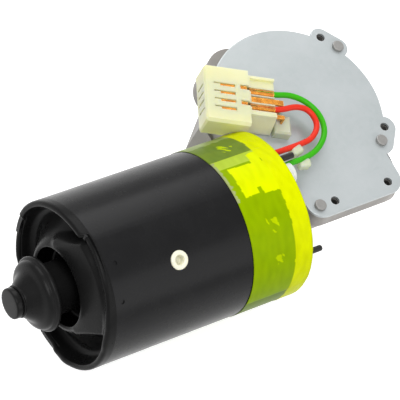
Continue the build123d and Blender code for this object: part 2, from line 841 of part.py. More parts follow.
# Worm wheel: a moulded wheel with slanted involute teeth, a thin web and a stout hub
base_radius = wheel_pitch_radius * cos(radians(pressure_angle))
lead_slope = thread_pitch / (2 * pi * worm_pitch_radius)
wheel_twist = degrees(lead_slope * wheel_face / wheel_pitch_radius)
wheel_hub_radius = 12.0
web_thickness = 4.0


def involute(angle):
    """The involute function of an angle in radians."""
    return tan(angle) - angle


def tooth_half_angle(radius):
    """Half the angle that one tooth takes up at a radius, in degrees."""
    at_pitch = pi / (2 * wheel_teeth) - flank_play / wheel_pitch_radius
    flank_angle = acos(base_radius / radius)
    return degrees(at_pitch + involute(radians(pressure_angle)) - involute(flank_angle))


def on_circle(radius, angle):
    """A point at a radius and an angle in degrees."""
    return (radius * cos(radians(angle)), radius * sin(radians(angle)))


def wheel_outline(height, turn):
    """The toothed outline of the worm wheel at a height, with a tooth space at -90 degrees before its turn."""
    step = 360 / wheel_teeth
    radii = (wheel_root_radius, wheel_pitch_radius, wheel_tip_radius)
    halves = [tooth_half_angle(max(radius, base_radius)) for radius in radii]
    with BuildSketch(Plane.XY.offset(height).rotated((0, 0, turn))) as outline:
        with BuildLine():
            for index in range(wheel_teeth):
                middle = -90 + step * (index + 0.5)
                rise = [on_circle(radius, middle - half) for radius, half in zip(radii, halves)]
                fall = [on_circle(radius, middle + half) for radius, half in zip(radii, halves)]
                following = on_circle(wheel_root_radius, middle + step - halves[0])
                ThreePointArc(*rise)
                ThreePointArc(rise[2], on_circle(wheel_tip_radius, middle), fall[2])
                ThreePointArc(*fall[::-1])
                ThreePointArc(fall[0], on_circle(wheel_root_radius, middle + step / 2), following)
        make_face()
    return outline.sketch


with BuildPart() as worm_wheel:
    loft([wheel_outline(wheel_bottom, -wheel_twist / 2), wheel_outline(wheel_top, wheel_twist / 2)], ruled=True)
    for height in (wheel_bottom, axis_height + web_thickness / 2):
        with BuildSketch(Plane.XY.offset(height)):
            Circle(wheel_root_radius - 4.0)
            Circle(wheel_hub_radius, mode=Mode.SUBTRACT)
        extrude(amount=(wheel_face - web_thickness) / 2, mode=Mode.SUBTRACT)
    with BuildSketch(Plane.XY.offset(wheel_bottom)):
        Circle(output_shaft_radius)
    extrude(amount=wheel_face, mode=Mode.SUBTRACT)
finish("worm_wheel", worm_wheel.part)

# Output shaft with its taper and threaded end for the crank
shaft_top = wheel_top + 3.4
disc_thickness = 0.8
clip_low = wheel_top + disc_thickness + 0.1
clip_thickness = 1.0
clip_groove = 0.6
with BuildPart() as output_shaft:
    bottom = -output_shaft_drop
    thread_top = bottom + crank_thread_length
    taper_top = thread_top + crank_taper_length
    turned([
        (0, bottom),
        (crank_thread_radius - 0.8, bottom),
        (crank_thread_radius, bottom + 0.8),
        (crank_thread_radius, thread_top),
        (output_shaft_radius - 1.0, thread_top),
        (output_shaft_radius, taper_top),
        (output_shaft_radius, clip_low),
        (output_shaft_radius - clip_groove, clip_low),
        (output_shaft_radius - clip_groove, clip_low + clip_thickness),
        (output_shaft_radius, clip_low + clip_thickness),
        (output_shaft_radius, shaft_top - 0.6),
        (output_shaft_radius - 0.6, shaft_top),
        (0, shaft_top),
    ], plane=Plane.XZ, axis=Axis.Z)
finish("output_shaft", output_shaft.part)

# Park disc: a contact plate on top of the wheel, with the gap that stops the motor
with BuildPart() as park_disc:
    with BuildSketch(Plane.XY.offset(wheel_top)):
        Circle(park_disc_radius)
        Circle(output_shaft_radius + 3.0, mode=Mode.SUBTRACT)
        with PolarLocations(park_disc_radius - 4.0, 1, start_angle=120):
            Rectangle(9.0, 7.0, mode=Mode.SUBTRACT)
    extrude(amount=disc_thickness)
finish("park_disc", park_disc.part)

with BuildPart() as wheel_circlip:
    with BuildSketch(Plane.XY.offset(clip_low)):
        Circle(output_shaft_radius + 2.2)
        Circle(output_shaft_radius - clip_groove, mode=Mode.SUBTRACT)
        with Locations((output_shaft_radius, 0)):
            Rectangle(6.0, 3.0, mode=Mode.SUBTRACT)
    extrude(amount=clip_thickness)
finish("wheel_circlip", wheel_circlip.part)

with BuildPart() as wheel_washer:
    washer_low = bowl_floor + 0.2
    upright_ring(washer_low, wheel_bottom, output_shaft_radius, wheel_hub_radius - 1.0)
finish("wheel_washer", wheel_washer.part)

# Two sintered bushes carry the output shaft, with a lip seal at the lower end
bush_height = 10.0
seal_height = 3.0
with BuildPart() as output_bushes:
    inner = output_shaft_radius + shaft_play
    upright_ring(bowl_floor - bush_height, bowl_floor, inner, output_bush_radius)
    upright_ring(seal_height - hub_drop, seal_height - hub_drop + bush_height, inner, output_bush_radius)
finish("output_bushes", output_bushes.part)

with BuildPart() as shaft_seal:
    upright_ring(-hub_drop, seal_height - hub_drop, output_shaft_radius + shaft_play, output_bush_radius)
finish("shaft_seal", shaft_seal.part)


def connector_section(x):
    """The plane across the connector at x of its own frame, with local x across and local y up."""
    return Plane(
        origin=connector_plane.from_local_coords((x, 0, 0)),
        x_dir=connector_plane.y_dir,
        z_dir=connector_plane.x_dir,
    )


# Connector housing: a nylon block with four cavities side by side, the rear part open over the crimps
connector_front = connector_rear - connector_rear_length - connector_front_length
connector_step = connector_rear - connector_rear_length
rows = [row_middle + row_pitch * ((row_count - 1) / 2 - index) for index in range(row_count)]
connector_top = connector_lift + connector_height
side_low = connector_middle - connector_width / 2
cavity_front = connector_front + front_wall
cavity_low = connector_lift + cavity_floor
cavity_high = cavity_low + cavity_height
wire_rows = (rows[0], rows[2])
strip_rows = (rows[1], rows[3])
strip_middles = (rows[1], rows[3] + strip_jog)
strip_top = cavity_high - strip_drop

with BuildPart() as connector_housing:
    with BuildSketch(connector_plane.offset(connector_lift)):
        with Locations(((connector_front + connector_step) / 2, connector_middle)):
            Rectangle(connector_front_length, connector_width)
    extrude(amount=connector_height)
    front_edges = connector_housing.edges().group_by(Axis(origin=(0, 0, 0), direction=connector_plane.x_dir))[0]
    chamfer(front_edges, connector_bevel)
    with BuildSketch(connector_section(connector_step)):
        with BuildLine():
            Polyline(
                (rear_side_low, connector_lift),
                (rear_side_far, connector_lift),
                (rear_side_far, connector_lift + rear_height),
                (rear_side_high, connector_lift + rear_height),
                close=True,
            )
        make_face()
    extrude(amount=connector_rear_length)
    with BuildSketch(connector_section(connector_front)):
        with BuildLine():
            Polyline(
                (side_low, connector_top - side_bevel),
                (side_low, connector_top),
                (side_low + side_bevel, connector_top),
                close=True,
            )
        make_face()
    extrude(amount=connector_front_length, mode=Mode.SUBTRACT)
    for row in rows:
        cavity_rear = connector_step if row == rows[-1] else connector_rear
        with BuildSketch(connector_section(cavity_front)):
            with Locations((row, (cavity_low + cavity_high) / 2)):
                Rectangle(cavity_width, cavity_height)
        extrude(amount=cavity_rear - cavity_front, mode=Mode.SUBTRACT)
        with BuildSketch(connector_section(connector_front)):
            with Locations((row, (cavity_low + cavity_high) / 2)):
                Rectangle(*blade_slot)
        extrude(amount=front_wall, mode=Mode.SUBTRACT)
        with BuildSketch(connector_plane.offset(cavity_high)):
            with Locations((connector_front + latch_place, row)):
                Rectangle(latch_length, latch_width)
            with Locations((connector_front + latch_place - latch_length / 2, row + latch_width / 2)):
                Rectangle(*latch_slit, align=(Align.MAX, Align.MAX))
        extrude(amount=connector_height, mode=Mode.SUBTRACT)
    with BuildSketch(connector_plane.offset(connector_lift + rear_height - rail_drop)):
        with Locations((connector_rear, (well_sides[0] + well_sides[1]) / 2)):
            Rectangle(
                2 * connector_rear_length - 2,
                well_sides[1] - well_sides[0],
            )
    extrude(amount=connector_height, mode=Mode.SUBTRACT)
    for row in wire_rows:
        with BuildSketch(connector_plane.offset(cavity_high)):
            with Locations((connector_step - 1.2, row)):
                Rectangle(6.0, 2.4)
            with Locations((connector_rear - 5.0, row)):
                Rectangle(10.0, cavity_width)
        extrude(amount=connector_height, mode=Mode.SUBTRACT)
    with BuildSketch(connector_section(connector_step)):
        with Locations((strip_middles[1], strip_top + 0.1)):
            Rectangle(strip_widths[1] + 0.2, strip_thickness + 0.2, align=(Align.CENTER, Align.MAX))
    extrude(amount=connector_rear_length, mode=Mode.SUBTRACT)
    tape_outside = casing_radius + tape_thickness + 0.3
    ring(flange_face - tape_length, flange_face + 0.3, 0, tape_outside, mode=Mode.SUBTRACT)
finish("connector_housing", connector_housing.part)

# Terminals: brass box receptacles on edge, two crimped to the leads and two running down into the gearbox
terminal_width = cavity_width - 2 * terminal_gap
terminal_low = cavity_low + terminal_gap
terminal_high = cavity_high - terminal_gap
terminal_front = connector_front + 2.0
terminal_rear = connector_step - 1.0
crimp_front = terminal_rear + 1.4
crimp_flare_start = connector_rear - 4.2
crimp_rear = connector_rear - 0.3
crimp_bell = (crimp_flare_start, crimp_rear, crimp_flare)
strip_end = connector_rear + strip_reach
lead_lift = lead_height - cover_top
carrier_low = cover_underside - 3.0


def receptacle(row):
    """A box receptacle in a row of the connector, added to the part being built."""
    with BuildSketch(connector_section(terminal_front)) as shell:
        with Locations((row, (terminal_low + terminal_high) / 2)):
            Rectangle(terminal_width, terminal_high - terminal_low)
            Rectangle(
                terminal_width - 2 * terminal_wall,
                terminal_high - terminal_low - 2 * terminal_wall,
                mode=Mode.SUBTRACT,
            )
    extrude(shell.sketch, amount=terminal_rear - terminal_front)
    with BuildSketch(connector_plane.offset(terminal_high - terminal_wall)) as lance:
        with Locations((connector_front + latch_place, row)):
            Rectangle(latch_length - 2 * latch_gap, latch_width - 2 * latch_gap)
    extrude(lance.sketch, amount=connector_top - latch_drop - terminal_high + terminal_wall)


for name, row in zip(("low_speed_terminal", "high_speed_terminal"), wire_rows):
    with BuildPart() as terminal:
        receptacle(row)
        for start, end, bore in ((crimp_front, crimp_flare_start, wire_radius + 0.02), crimp_bell):
            with BuildSketch(connector_section(start)):
                with Locations((row, lead_lift)):
                    Circle(terminal_width / 2)
                    Circle(bore, mode=Mode.SUBTRACT)
                with Locations((row, lead_lift)):
                    Rectangle(crimp_seam, terminal_width, align=(Align.CENTER, Align.MIN), mode=Mode.SUBTRACT)
            extrude(amount=end - start)
        with BuildSketch(connector_section(terminal_rear - 1.0)):
            with Locations((row, lead_lift - terminal_width / 2)):
                Rectangle(terminal_width, terminal_wall, align=(Align.CENTER, Align.MIN))
        extrude(amount=crimp_front + 0.5 - terminal_rear + 1.0)
        with BuildSketch(connector_plane.offset(terminal_high - terminal_wall)):
            with Locations((terminal_rear - 1.6, row - latch_gap)):
                Rectangle(3.2, 2.0)
        extrude(amount=connector_top - latch_drop - terminal_high + terminal_wall)
    finish(name, terminal.part)

for name, row, middle, width in zip(("park_terminal", "earth_terminal"), strip_rows, strip_middles, strip_widths):
    with BuildPart() as terminal:
        receptacle(row)
        arm_low = strip_top - strip_thickness
        strip_plane = Plane(
            origin=connector_plane.from_local_coords((0, middle + width / 2, 0)),
            x_dir=connector_plane.x_dir,
            z_dir=-connector_plane.y_dir,
        )
        with BuildSketch(strip_plane):
            with BuildLine():
                Polyline(
                    (terminal_rear - 1.0, arm_low),
                    (strip_end - strip_thickness, arm_low),
                    (strip_end - strip_thickness, carrier_low - cover_top),
                    (strip_end, carrier_low - cover_top),
                    (strip_end, strip_top),
                    (terminal_rear + strip_thickness, strip_top),
                    (terminal_rear + strip_thickness, terminal_high),
                    (terminal_rear - 1.0, terminal_high),
                    close=True,
                )
            make_face()
        extrude(amount=width)
    finish(name, terminal.part)

# Terminal foot: the nylon block on the cover that the two strips pass through
with BuildPart() as terminal_foot:
    for middle, size, height in foot_blocks:
        with BuildSketch(connector_plane):
            with Locations(middle):
                Rectangle(*size)
        extrude(amount=height)
        with BuildSketch(connector_plane):
            with Locations(middle):
                Rectangle(size[0] - 2 - 2 * window_play, size[1] - 2 - 2 * window_play)
        extrude(amount=-cover_thickness)
    chamfer(terminal_foot.faces().sort_by(Axis.Z)[-1].edges(), 0.8)
    for middle, width in zip(strip_middles, strip_widths):
        with BuildSketch(connector_plane.offset(-cover_thickness)):
            with Locations((strip_end - strip_thickness / 2, middle)):
                Rectangle(strip_thickness, width)
        extrude(amount=cover_thickness + foot_blocks[0][2], mode=Mode.SUBTRACT)
finish("terminal_foot", terminal_foot.part)

# Contact carrier under the cover, with the springs that run on the park disc
carrier_x = (-24.0, -4.0)
carrier_y = (-18.0, 4.0)
contact_rows = (-2.0, -7.5, -13.0)
contact_width = 2.5
contact_thickness = 0.3
contact_gap = 0.15

with BuildPart() as contact_carrier:
    with BuildSketch(Plane.XY.offset(carrier_low)):
        with Locations(((carrier_x[0] + carrier_x[1]) / 2, (carrier_y[0] + carrier_y[1]) / 2)):
            RectangleRounded(carrier_x[1] - carrier_x[0], carrier_y[1] - carrier_y[0], 2.0)
    extrude(amount=cover_underside - carrier_low)
    for middle, width in zip(strip_middles, strip_widths):
        with BuildSketch(connector_plane.offset(carrier_low - cover_top)):
            with Locations((strip_end - strip_thickness / 2, middle)):
                Rectangle(strip_thickness, width)
        extrude(amount=cover_underside - carrier_low, mode=Mode.SUBTRACT)
finish("contact_carrier", contact_carrier.part)

with BuildPart() as park_contacts:
    track = wheel_top + disc_thickness + contact_gap
    for place in contact_rows:
        with BuildSketch(Plane.XZ.offset(-place - contact_width / 2)):
            with BuildLine():
                Polyline(
                    (carrier_x[0] + 1, carrier_low),
                    (carrier_x[0] + 6, carrier_low),
                    (-12.0, track + contact_thickness),
                    (-10.0, track + contact_thickness),
                    (-8.5, track + 1.2),
                    (-8.5, track + 0.8),
                    (-9.8, track),
                    (-12.2, track),
                    (carrier_x[0] + 6, carrier_low - contact_thickness),
                    (carrier_x[0] + 1, carrier_low - contact_thickness),
                    close=True,
                )
            make_face()
        extrude(amount=contact_width)
finish("park_contacts", park_contacts.part)

# Rubber grommets where the leads pass through the flange
with BuildPart() as wire_grommets:
    for place in (red_lead_at, green_lead_at):
        with BuildSketch(motor_section(tube_end)):
            with Locations(place):
                Circle(wire_radius + grommet_wall)
                Circle(wire_radius + shaft_play, mode=Mode.SUBTRACT)
        extrude(amount=flange_thickness + 1.0)
finish("wire_grommets", wire_grommets.part)

# Leads: from the crimps, round in a loop over the cover and back into the motor
red_y = motor_y + red_lead_at[0]
red_z = axis_height + red_lead_at[1]
green_y = motor_y + green_lead_at[0]
green_z = axis_height + green_lead_at[1]
lead_start = connector_rear - 8.4
green_start = connector_plane.from_local_coords((lead_start, wire_rows[0], lead_lift))
red_start = connector_plane.from_local_coords((lead_start, wire_rows[1], lead_lift))
green_exit = connector_plane.from_local_coords((connector_rear + 0.2, wire_rows[0], lead_lift))
red_exit = connector_plane.from_local_coords((connector_rear + 1.6, wire_rows[1], lead_lift))
green_route = (
    green_start,
    green_exit,
    (-6.2, 3.8, 46.6),
    (0.0, -2.1, 46.2),
    (2.6, -10.7, 46.0),
    (-0.3, -19.2, 46.0),
    (-8.0, -25.1, 46.2),
    (-17.3, -27.6, 47.2),
    (-26.4, -28.2, 49.6),
    (-34.5, green_y, green_z),
    (-42.2, green_y, green_z),
)
red_route = (
    red_start,
    red_exit,
    (-6.6, -2.2, 46.6),
    (-1.1, -6.2, 46.1),
    (-1.2, -14.1, 46.0),
    (-7.8, -19.4, 46.0),
    (-15.3, -20.2, 46.4),
    (-24.2, -21.0, 48.4),
    (-34.0, red_y, red_z),
    (-43.6, red_y, red_z),
)


def corner_radii(route):
    """The radius at each inner point: 0.45 of the shorter run over the tangent of half the turn."""
    points = [Vector(*point) for point in route]
    radii = []
    for before, here, after in zip(points, points[1:], points[2:]):
        arriving = here - before
        leaving = after - here
        turn = radians(arriving.get_angle(leaving))
        radii.append(0.45 * min(arriving.length, leaving.length) / tan(turn / 2))
    return radii


for name, route in (("green_wire", green_route), ("red_wire", red_route)):
    radii = corner_radii(route)
    with BuildPart() as lead:
        with BuildLine() as lead_path:
            FilletPolyline(*route, radius=radii)
        with BuildSketch(Plane(origin=lead_path.line @ 0, z_dir=lead_path.line % 0)):
            Circle(wire_radius)
        sweep(path=lead_path.line)
    path_length = lead_path.wire().length
    print(name, "radii", [round(radius, 1) for radius in radii], "length", round(path_length, 1))
    print("  volume over section times length", round(lead.part.volume / (pi * wire_radius**2 * path_length), 4))
    finish(name, lead.part)

# Nylon clips that hold the leads off the cover
clip_places = ((-15.6, -20.2, 46.6), (-15.2, -26.9, 46.9))
clip_length = 2.6
clip_wall = 0.9
with BuildPart() as wire_clips:
    for along, across, height in clip_places:
        with BuildSketch(Plane.XY.offset(cover_top)):
            with Locations((along, across)):
                Rectangle(clip_length, 2 * (wire_radius + clip_wall))
        extrude(amount=height - cover_top)
        with BuildSketch(Plane.YZ.offset(along - clip_length)):
            with Locations((across, height)):
                Circle(wire_radius + 0.35)
        extrude(amount=2 * clip_length, mode=Mode.SUBTRACT)
finish("wire_clips", wire_clips.part)
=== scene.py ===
"""A vehicle wiper motor: a black motor, a cast gearbox under a sheet cover, a connector on two leads."""

import logging
from dataclasses import dataclass
from enum import Enum
from math import cos, degrees, pi, radians, sin
from typing import Sequence

import bmesh
import bpy
from mathutils import Matrix, Vector, noise


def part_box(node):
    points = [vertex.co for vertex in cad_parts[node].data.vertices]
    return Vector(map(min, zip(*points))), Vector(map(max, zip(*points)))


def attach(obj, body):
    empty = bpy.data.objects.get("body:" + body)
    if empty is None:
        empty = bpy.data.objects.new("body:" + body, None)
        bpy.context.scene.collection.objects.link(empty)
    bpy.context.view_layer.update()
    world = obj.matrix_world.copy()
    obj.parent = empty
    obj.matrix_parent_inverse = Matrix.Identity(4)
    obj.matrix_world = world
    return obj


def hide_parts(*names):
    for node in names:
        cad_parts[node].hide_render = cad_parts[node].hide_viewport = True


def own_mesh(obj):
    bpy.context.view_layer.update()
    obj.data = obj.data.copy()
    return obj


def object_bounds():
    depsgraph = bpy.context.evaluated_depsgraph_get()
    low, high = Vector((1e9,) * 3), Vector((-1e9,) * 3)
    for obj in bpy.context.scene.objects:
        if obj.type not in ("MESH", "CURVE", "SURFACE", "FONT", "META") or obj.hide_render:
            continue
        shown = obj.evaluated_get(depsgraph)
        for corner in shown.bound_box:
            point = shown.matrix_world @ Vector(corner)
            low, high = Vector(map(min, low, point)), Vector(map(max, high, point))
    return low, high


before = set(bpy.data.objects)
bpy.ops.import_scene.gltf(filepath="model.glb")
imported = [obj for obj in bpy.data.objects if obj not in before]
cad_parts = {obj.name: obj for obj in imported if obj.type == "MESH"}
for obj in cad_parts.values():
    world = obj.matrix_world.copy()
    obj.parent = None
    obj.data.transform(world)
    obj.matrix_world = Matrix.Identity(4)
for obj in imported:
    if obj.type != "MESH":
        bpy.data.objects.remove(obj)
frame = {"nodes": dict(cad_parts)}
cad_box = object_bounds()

log = logging.getLogger("wiper_motor")

Colour = tuple[float, float, float]
Point = tuple[float, float, float]
Place = tuple[float, float]
Socket = bpy.types.NodeSocket
Node = bpy.types.Node
Tree = bpy.types.NodeTree

MILLIMETRE = 0.001
SMOOTH_EDGE_CUTS = 2


class ShaderTree:
    """Places and joins the nodes of one material or one node group."""

    # Where the mix node keeps its factor, its two colours, their mix, and its two plain values
    MIX_FACTOR, MIX_FIRST, MIX_SECOND, MIX_RESULT = 0, 6, 7, 2
    MIX_LOW, MIX_HIGH = 2, 3

    def __init__(self, tree: Tree) -> None:
        """Takes over a tree and empties it.

        Args:
            tree: the node tree to build in.
        """
        self.tree = tree
        tree.nodes.clear()

    def add(self, kind: str, **values: object) -> Node:
        """Adds a node.

        Args:
            kind: the node's type, without the words ShaderNode.
            values: properties of the node by name, or values of its input sockets by
                name with underscores for spaces.

        Returns:
            The new node.
        """
        prefix = "" if kind.startswith("Node") else "ShaderNode"
        node = self.tree.nodes.new(prefix + kind)
        for name, value in values.items():
            if hasattr(node, name):
                setattr(node, name, value)
            else:
                node.inputs[name.replace("_", " ")].default_value = value
        return node

    def link(self, source: Socket, target: Socket) -> None:
        """Joins two sockets."""
        self.tree.links.new(source, target)

    def mix(self, factor: Socket, first: Socket, second: Socket) -> Socket:
        """Mixes two colour sockets by a factor socket.

        Args:
            factor: 0 gives the first colour, 1 the second.
            first: the colour at 0.
            second: the colour at 1.

        Returns:
            The mixed colour's socket.
        """
        node = self.tree.nodes.new("ShaderNodeMix")
        node.data_type = "RGBA"
        self.link(factor, node.inputs[self.MIX_FACTOR])
        self.link(first, node.inputs[self.MIX_FIRST])
        self.link(second, node.inputs[self.MIX_SECOND])
        return node.outputs[self.MIX_RESULT]

    def group(self, group: Tree, **values: object) -> Node:
        """Places a node group and sets its inputs.

        Args:
            group: the shared group.
            values: values of its inputs, with underscores for spaces.

        Returns:
            The group's node.
        """
        node = self.tree.nodes.new("ShaderNodeGroup")
        node.node_tree = group
        for name, value in values.items():
            node.inputs[name.replace("_", " ")].default_value = value
        return node


class SharedEffects:
    """The node groups that several finishes use."""

    # How wide the band of edge wear and painted glint is, in metres, and how fine the breaks in it are
    EDGE_RADIUS = 0.0006
    EDGE_BREAKS = 900.0

    def __init__(self) -> None:
        """Builds each group once."""
        self.mottle = self._mottle()
        self.grain = self._grain()
        self.edge_wear_and_glint = self._edge_wear_and_glint()
        self.spangle = self._spangle()
        self.painted_hollow_shade = self._painted_hollow_shade()

    @staticmethod
    def _start(
        name: str, inputs: Sequence[tuple[str, str]], outputs: Sequence[tuple[str, str]]
    ) -> tuple[Tree, ShaderTree, Node, Node]:
        """Makes an empty group with its sockets.

        Args:
            name: the group's name.
            inputs: name and kind of each input.
            outputs: name and kind of each output.

        Returns:
            The group, its builder, its input node and its output node.
        """
        group = bpy.data.node_groups.new(name, "ShaderNodeTree")
        for socket, kind in inputs:
            group.interface.new_socket(name=socket, in_out="INPUT", socket_type="NodeSocket" + kind)
        for socket, kind in outputs:
            group.interface.new_socket(name=socket, in_out="OUTPUT", socket_type="NodeSocket" + kind)
        tree = ShaderTree(group)
        return group, tree, tree.add("NodeGroupInput"), tree.add("NodeGroupOutput")

    def _mottle(self) -> Tree:
        """A colour that drifts to a second one in soft clouds, with the cloud's mask."""
        group, tree, start, end = self._start(
            "Mottle",
            (("Color", "Color"), ("Second Color", "Color"), ("Scale", "Float"), ("Amount", "Float")),
            (("Color", "Color"), ("Mask", "Float")),
        )
        place = tree.add("TexCoord")
        clouds = tree.add("TexNoise", Detail=5.0, Roughness=0.6)
        spread = tree.add("MapRange", From_Min=0.36, From_Max=0.64)
        strength = tree.add("Math", operation="MULTIPLY")
        tree.link(place.outputs["Object"], clouds.inputs["Vector"])
        tree.link(start.outputs["Scale"], clouds.inputs["Scale"])
        tree.link(clouds.outputs[0], spread.inputs["Value"])
        tree.link(spread.outputs[0], strength.inputs[0])
        tree.link(start.outputs["Amount"], strength.inputs[1])
        tinted = tree.mix(strength.outputs[0], start.outputs["Color"], start.outputs["Second Color"])
        tree.link(tinted, end.inputs["Color"])
        tree.link(strength.outputs[0], end.inputs["Mask"])
        return group

    def _grain(self) -> Tree:
        """A height of fine grain over a coarser ripple."""
        group, tree, start, end = self._start(
            "Grain",
            (("Fine Scale", "Float"), ("Coarse Scale", "Float"), ("Coarse Share", "Float")),
            (("Height", "Float"),),
        )
        place = tree.add("TexCoord")
        fine = tree.add("TexNoise", Detail=3.0)
        coarse = tree.add("TexNoise", Detail=2.0)
        blend = tree.add("Mix")
        for texture, scale in ((fine, "Fine Scale"), (coarse, "Coarse Scale")):
            tree.link(place.outputs["Object"], texture.inputs["Vector"])
            tree.link(start.outputs[scale], texture.inputs["Scale"])
        tree.link(start.outputs["Coarse Share"], blend.inputs[tree.MIX_FACTOR])
        tree.link(fine.outputs[0], blend.inputs[tree.MIX_LOW])
        tree.link(coarse.outputs[0], blend.inputs[tree.MIX_HIGH])
        tree.link(blend.outputs[0], end.inputs["Height"])
        return group

    def _edge_wear_and_glint(self) -> Tree:
        """A colour rubbed to another along sharp edges; on brass and zinc the paler edge colour is also a
        painted glint.
        """
        group, tree, start, end = self._start(
            "Edge Wear And Glint",
            (("Color", "Color"), ("Worn Color", "Color"), ("Amount", "Float")),
            (("Color", "Color"), ("Mask", "Float")),
        )
        rounded = tree.add("Bevel", samples=4, Radius=self.EDGE_RADIUS)
        facts = tree.add("NewGeometry")
        facing = tree.add("VectorMath", operation="DOT_PRODUCT")
        edge = tree.add("MapRange", From_Min=0.99, From_Max=0.8)
        place = tree.add("TexCoord")
        breaks = tree.add("TexNoise", Scale=self.EDGE_BREAKS, Detail=2.0)
        broken = tree.add("MapRange", From_Min=0.35, From_Max=0.6)
        worn_and_glint = tree.add("Math", operation="MULTIPLY")
        strength = tree.add("Math", operation="MULTIPLY", use_clamp=True)
        tree.link(rounded.outputs[0], facing.inputs[0])
        tree.link(facts.outputs["Normal"], facing.inputs[1])
        tree.link(facing.outputs["Value"], edge.inputs["Value"])
        tree.link(place.outputs["Object"], breaks.inputs["Vector"])
        tree.link(breaks.outputs[0], broken.inputs["Value"])
        tree.link(edge.outputs[0], worn_and_glint.inputs[0])
        tree.link(broken.outputs[0], worn_and_glint.inputs[1])
        tree.link(worn_and_glint.outputs[0], strength.inputs[0])
        tree.link(start.outputs["Amount"], strength.inputs[1])
        worn_and_glinting = tree.mix(strength.outputs[0], start.outputs["Color"], start.outputs["Worn Color"])
        tree.link(worn_and_glinting, end.inputs["Color"])
        tree.link(strength.outputs[0], end.inputs["Mask"])
        return group

    def _spangle(self) -> Tree:
        """The crystal flakes of a zinc coat, as a mask from 0 to 1."""
        scale, mask = ("Scale", "Float"), ("Mask", "Float")
        group, tree, start, end = self._start("Zinc Spangle", (scale,), (mask,))
        place = tree.add("TexCoord")
        flakes = tree.add("TexVoronoi")
        level = tree.add("SeparateColor")
        tree.link(place.outputs["Object"], flakes.inputs["Vector"])
        tree.link(start.outputs["Scale"], flakes.inputs["Scale"])
        tree.link(flakes.outputs["Color"], level.inputs[0])
        tree.link(level.outputs[0], end.inputs["Mask"])
        return group

    def _painted_hollow_shade(self) -> Tree:
        """Painted shade: a colour that darkens deep inside hollows, by ambient occlusion."""
        group, tree, start, end = self._start(
            "Hollow Shade",
            (("Color", "Color"), ("Reach", "Float"), ("Shade Color", "Color")),
            (("Color", "Color"),),
        )
        openness = tree.add("AmbientOcclusion", samples=8)
        spread = tree.add("MapRange", From_Min=0.12, From_Max=0.62)
        tree.link(start.outputs["Reach"], openness.inputs["Distance"])
        tree.link(openness.outputs["AO"], spread.inputs["Value"])
        shaded = tree.mix(spread.outputs[0], start.outputs["Shade Color"], start.outputs["Color"])
        tree.link(shaded, end.inputs["Color"])
        return group


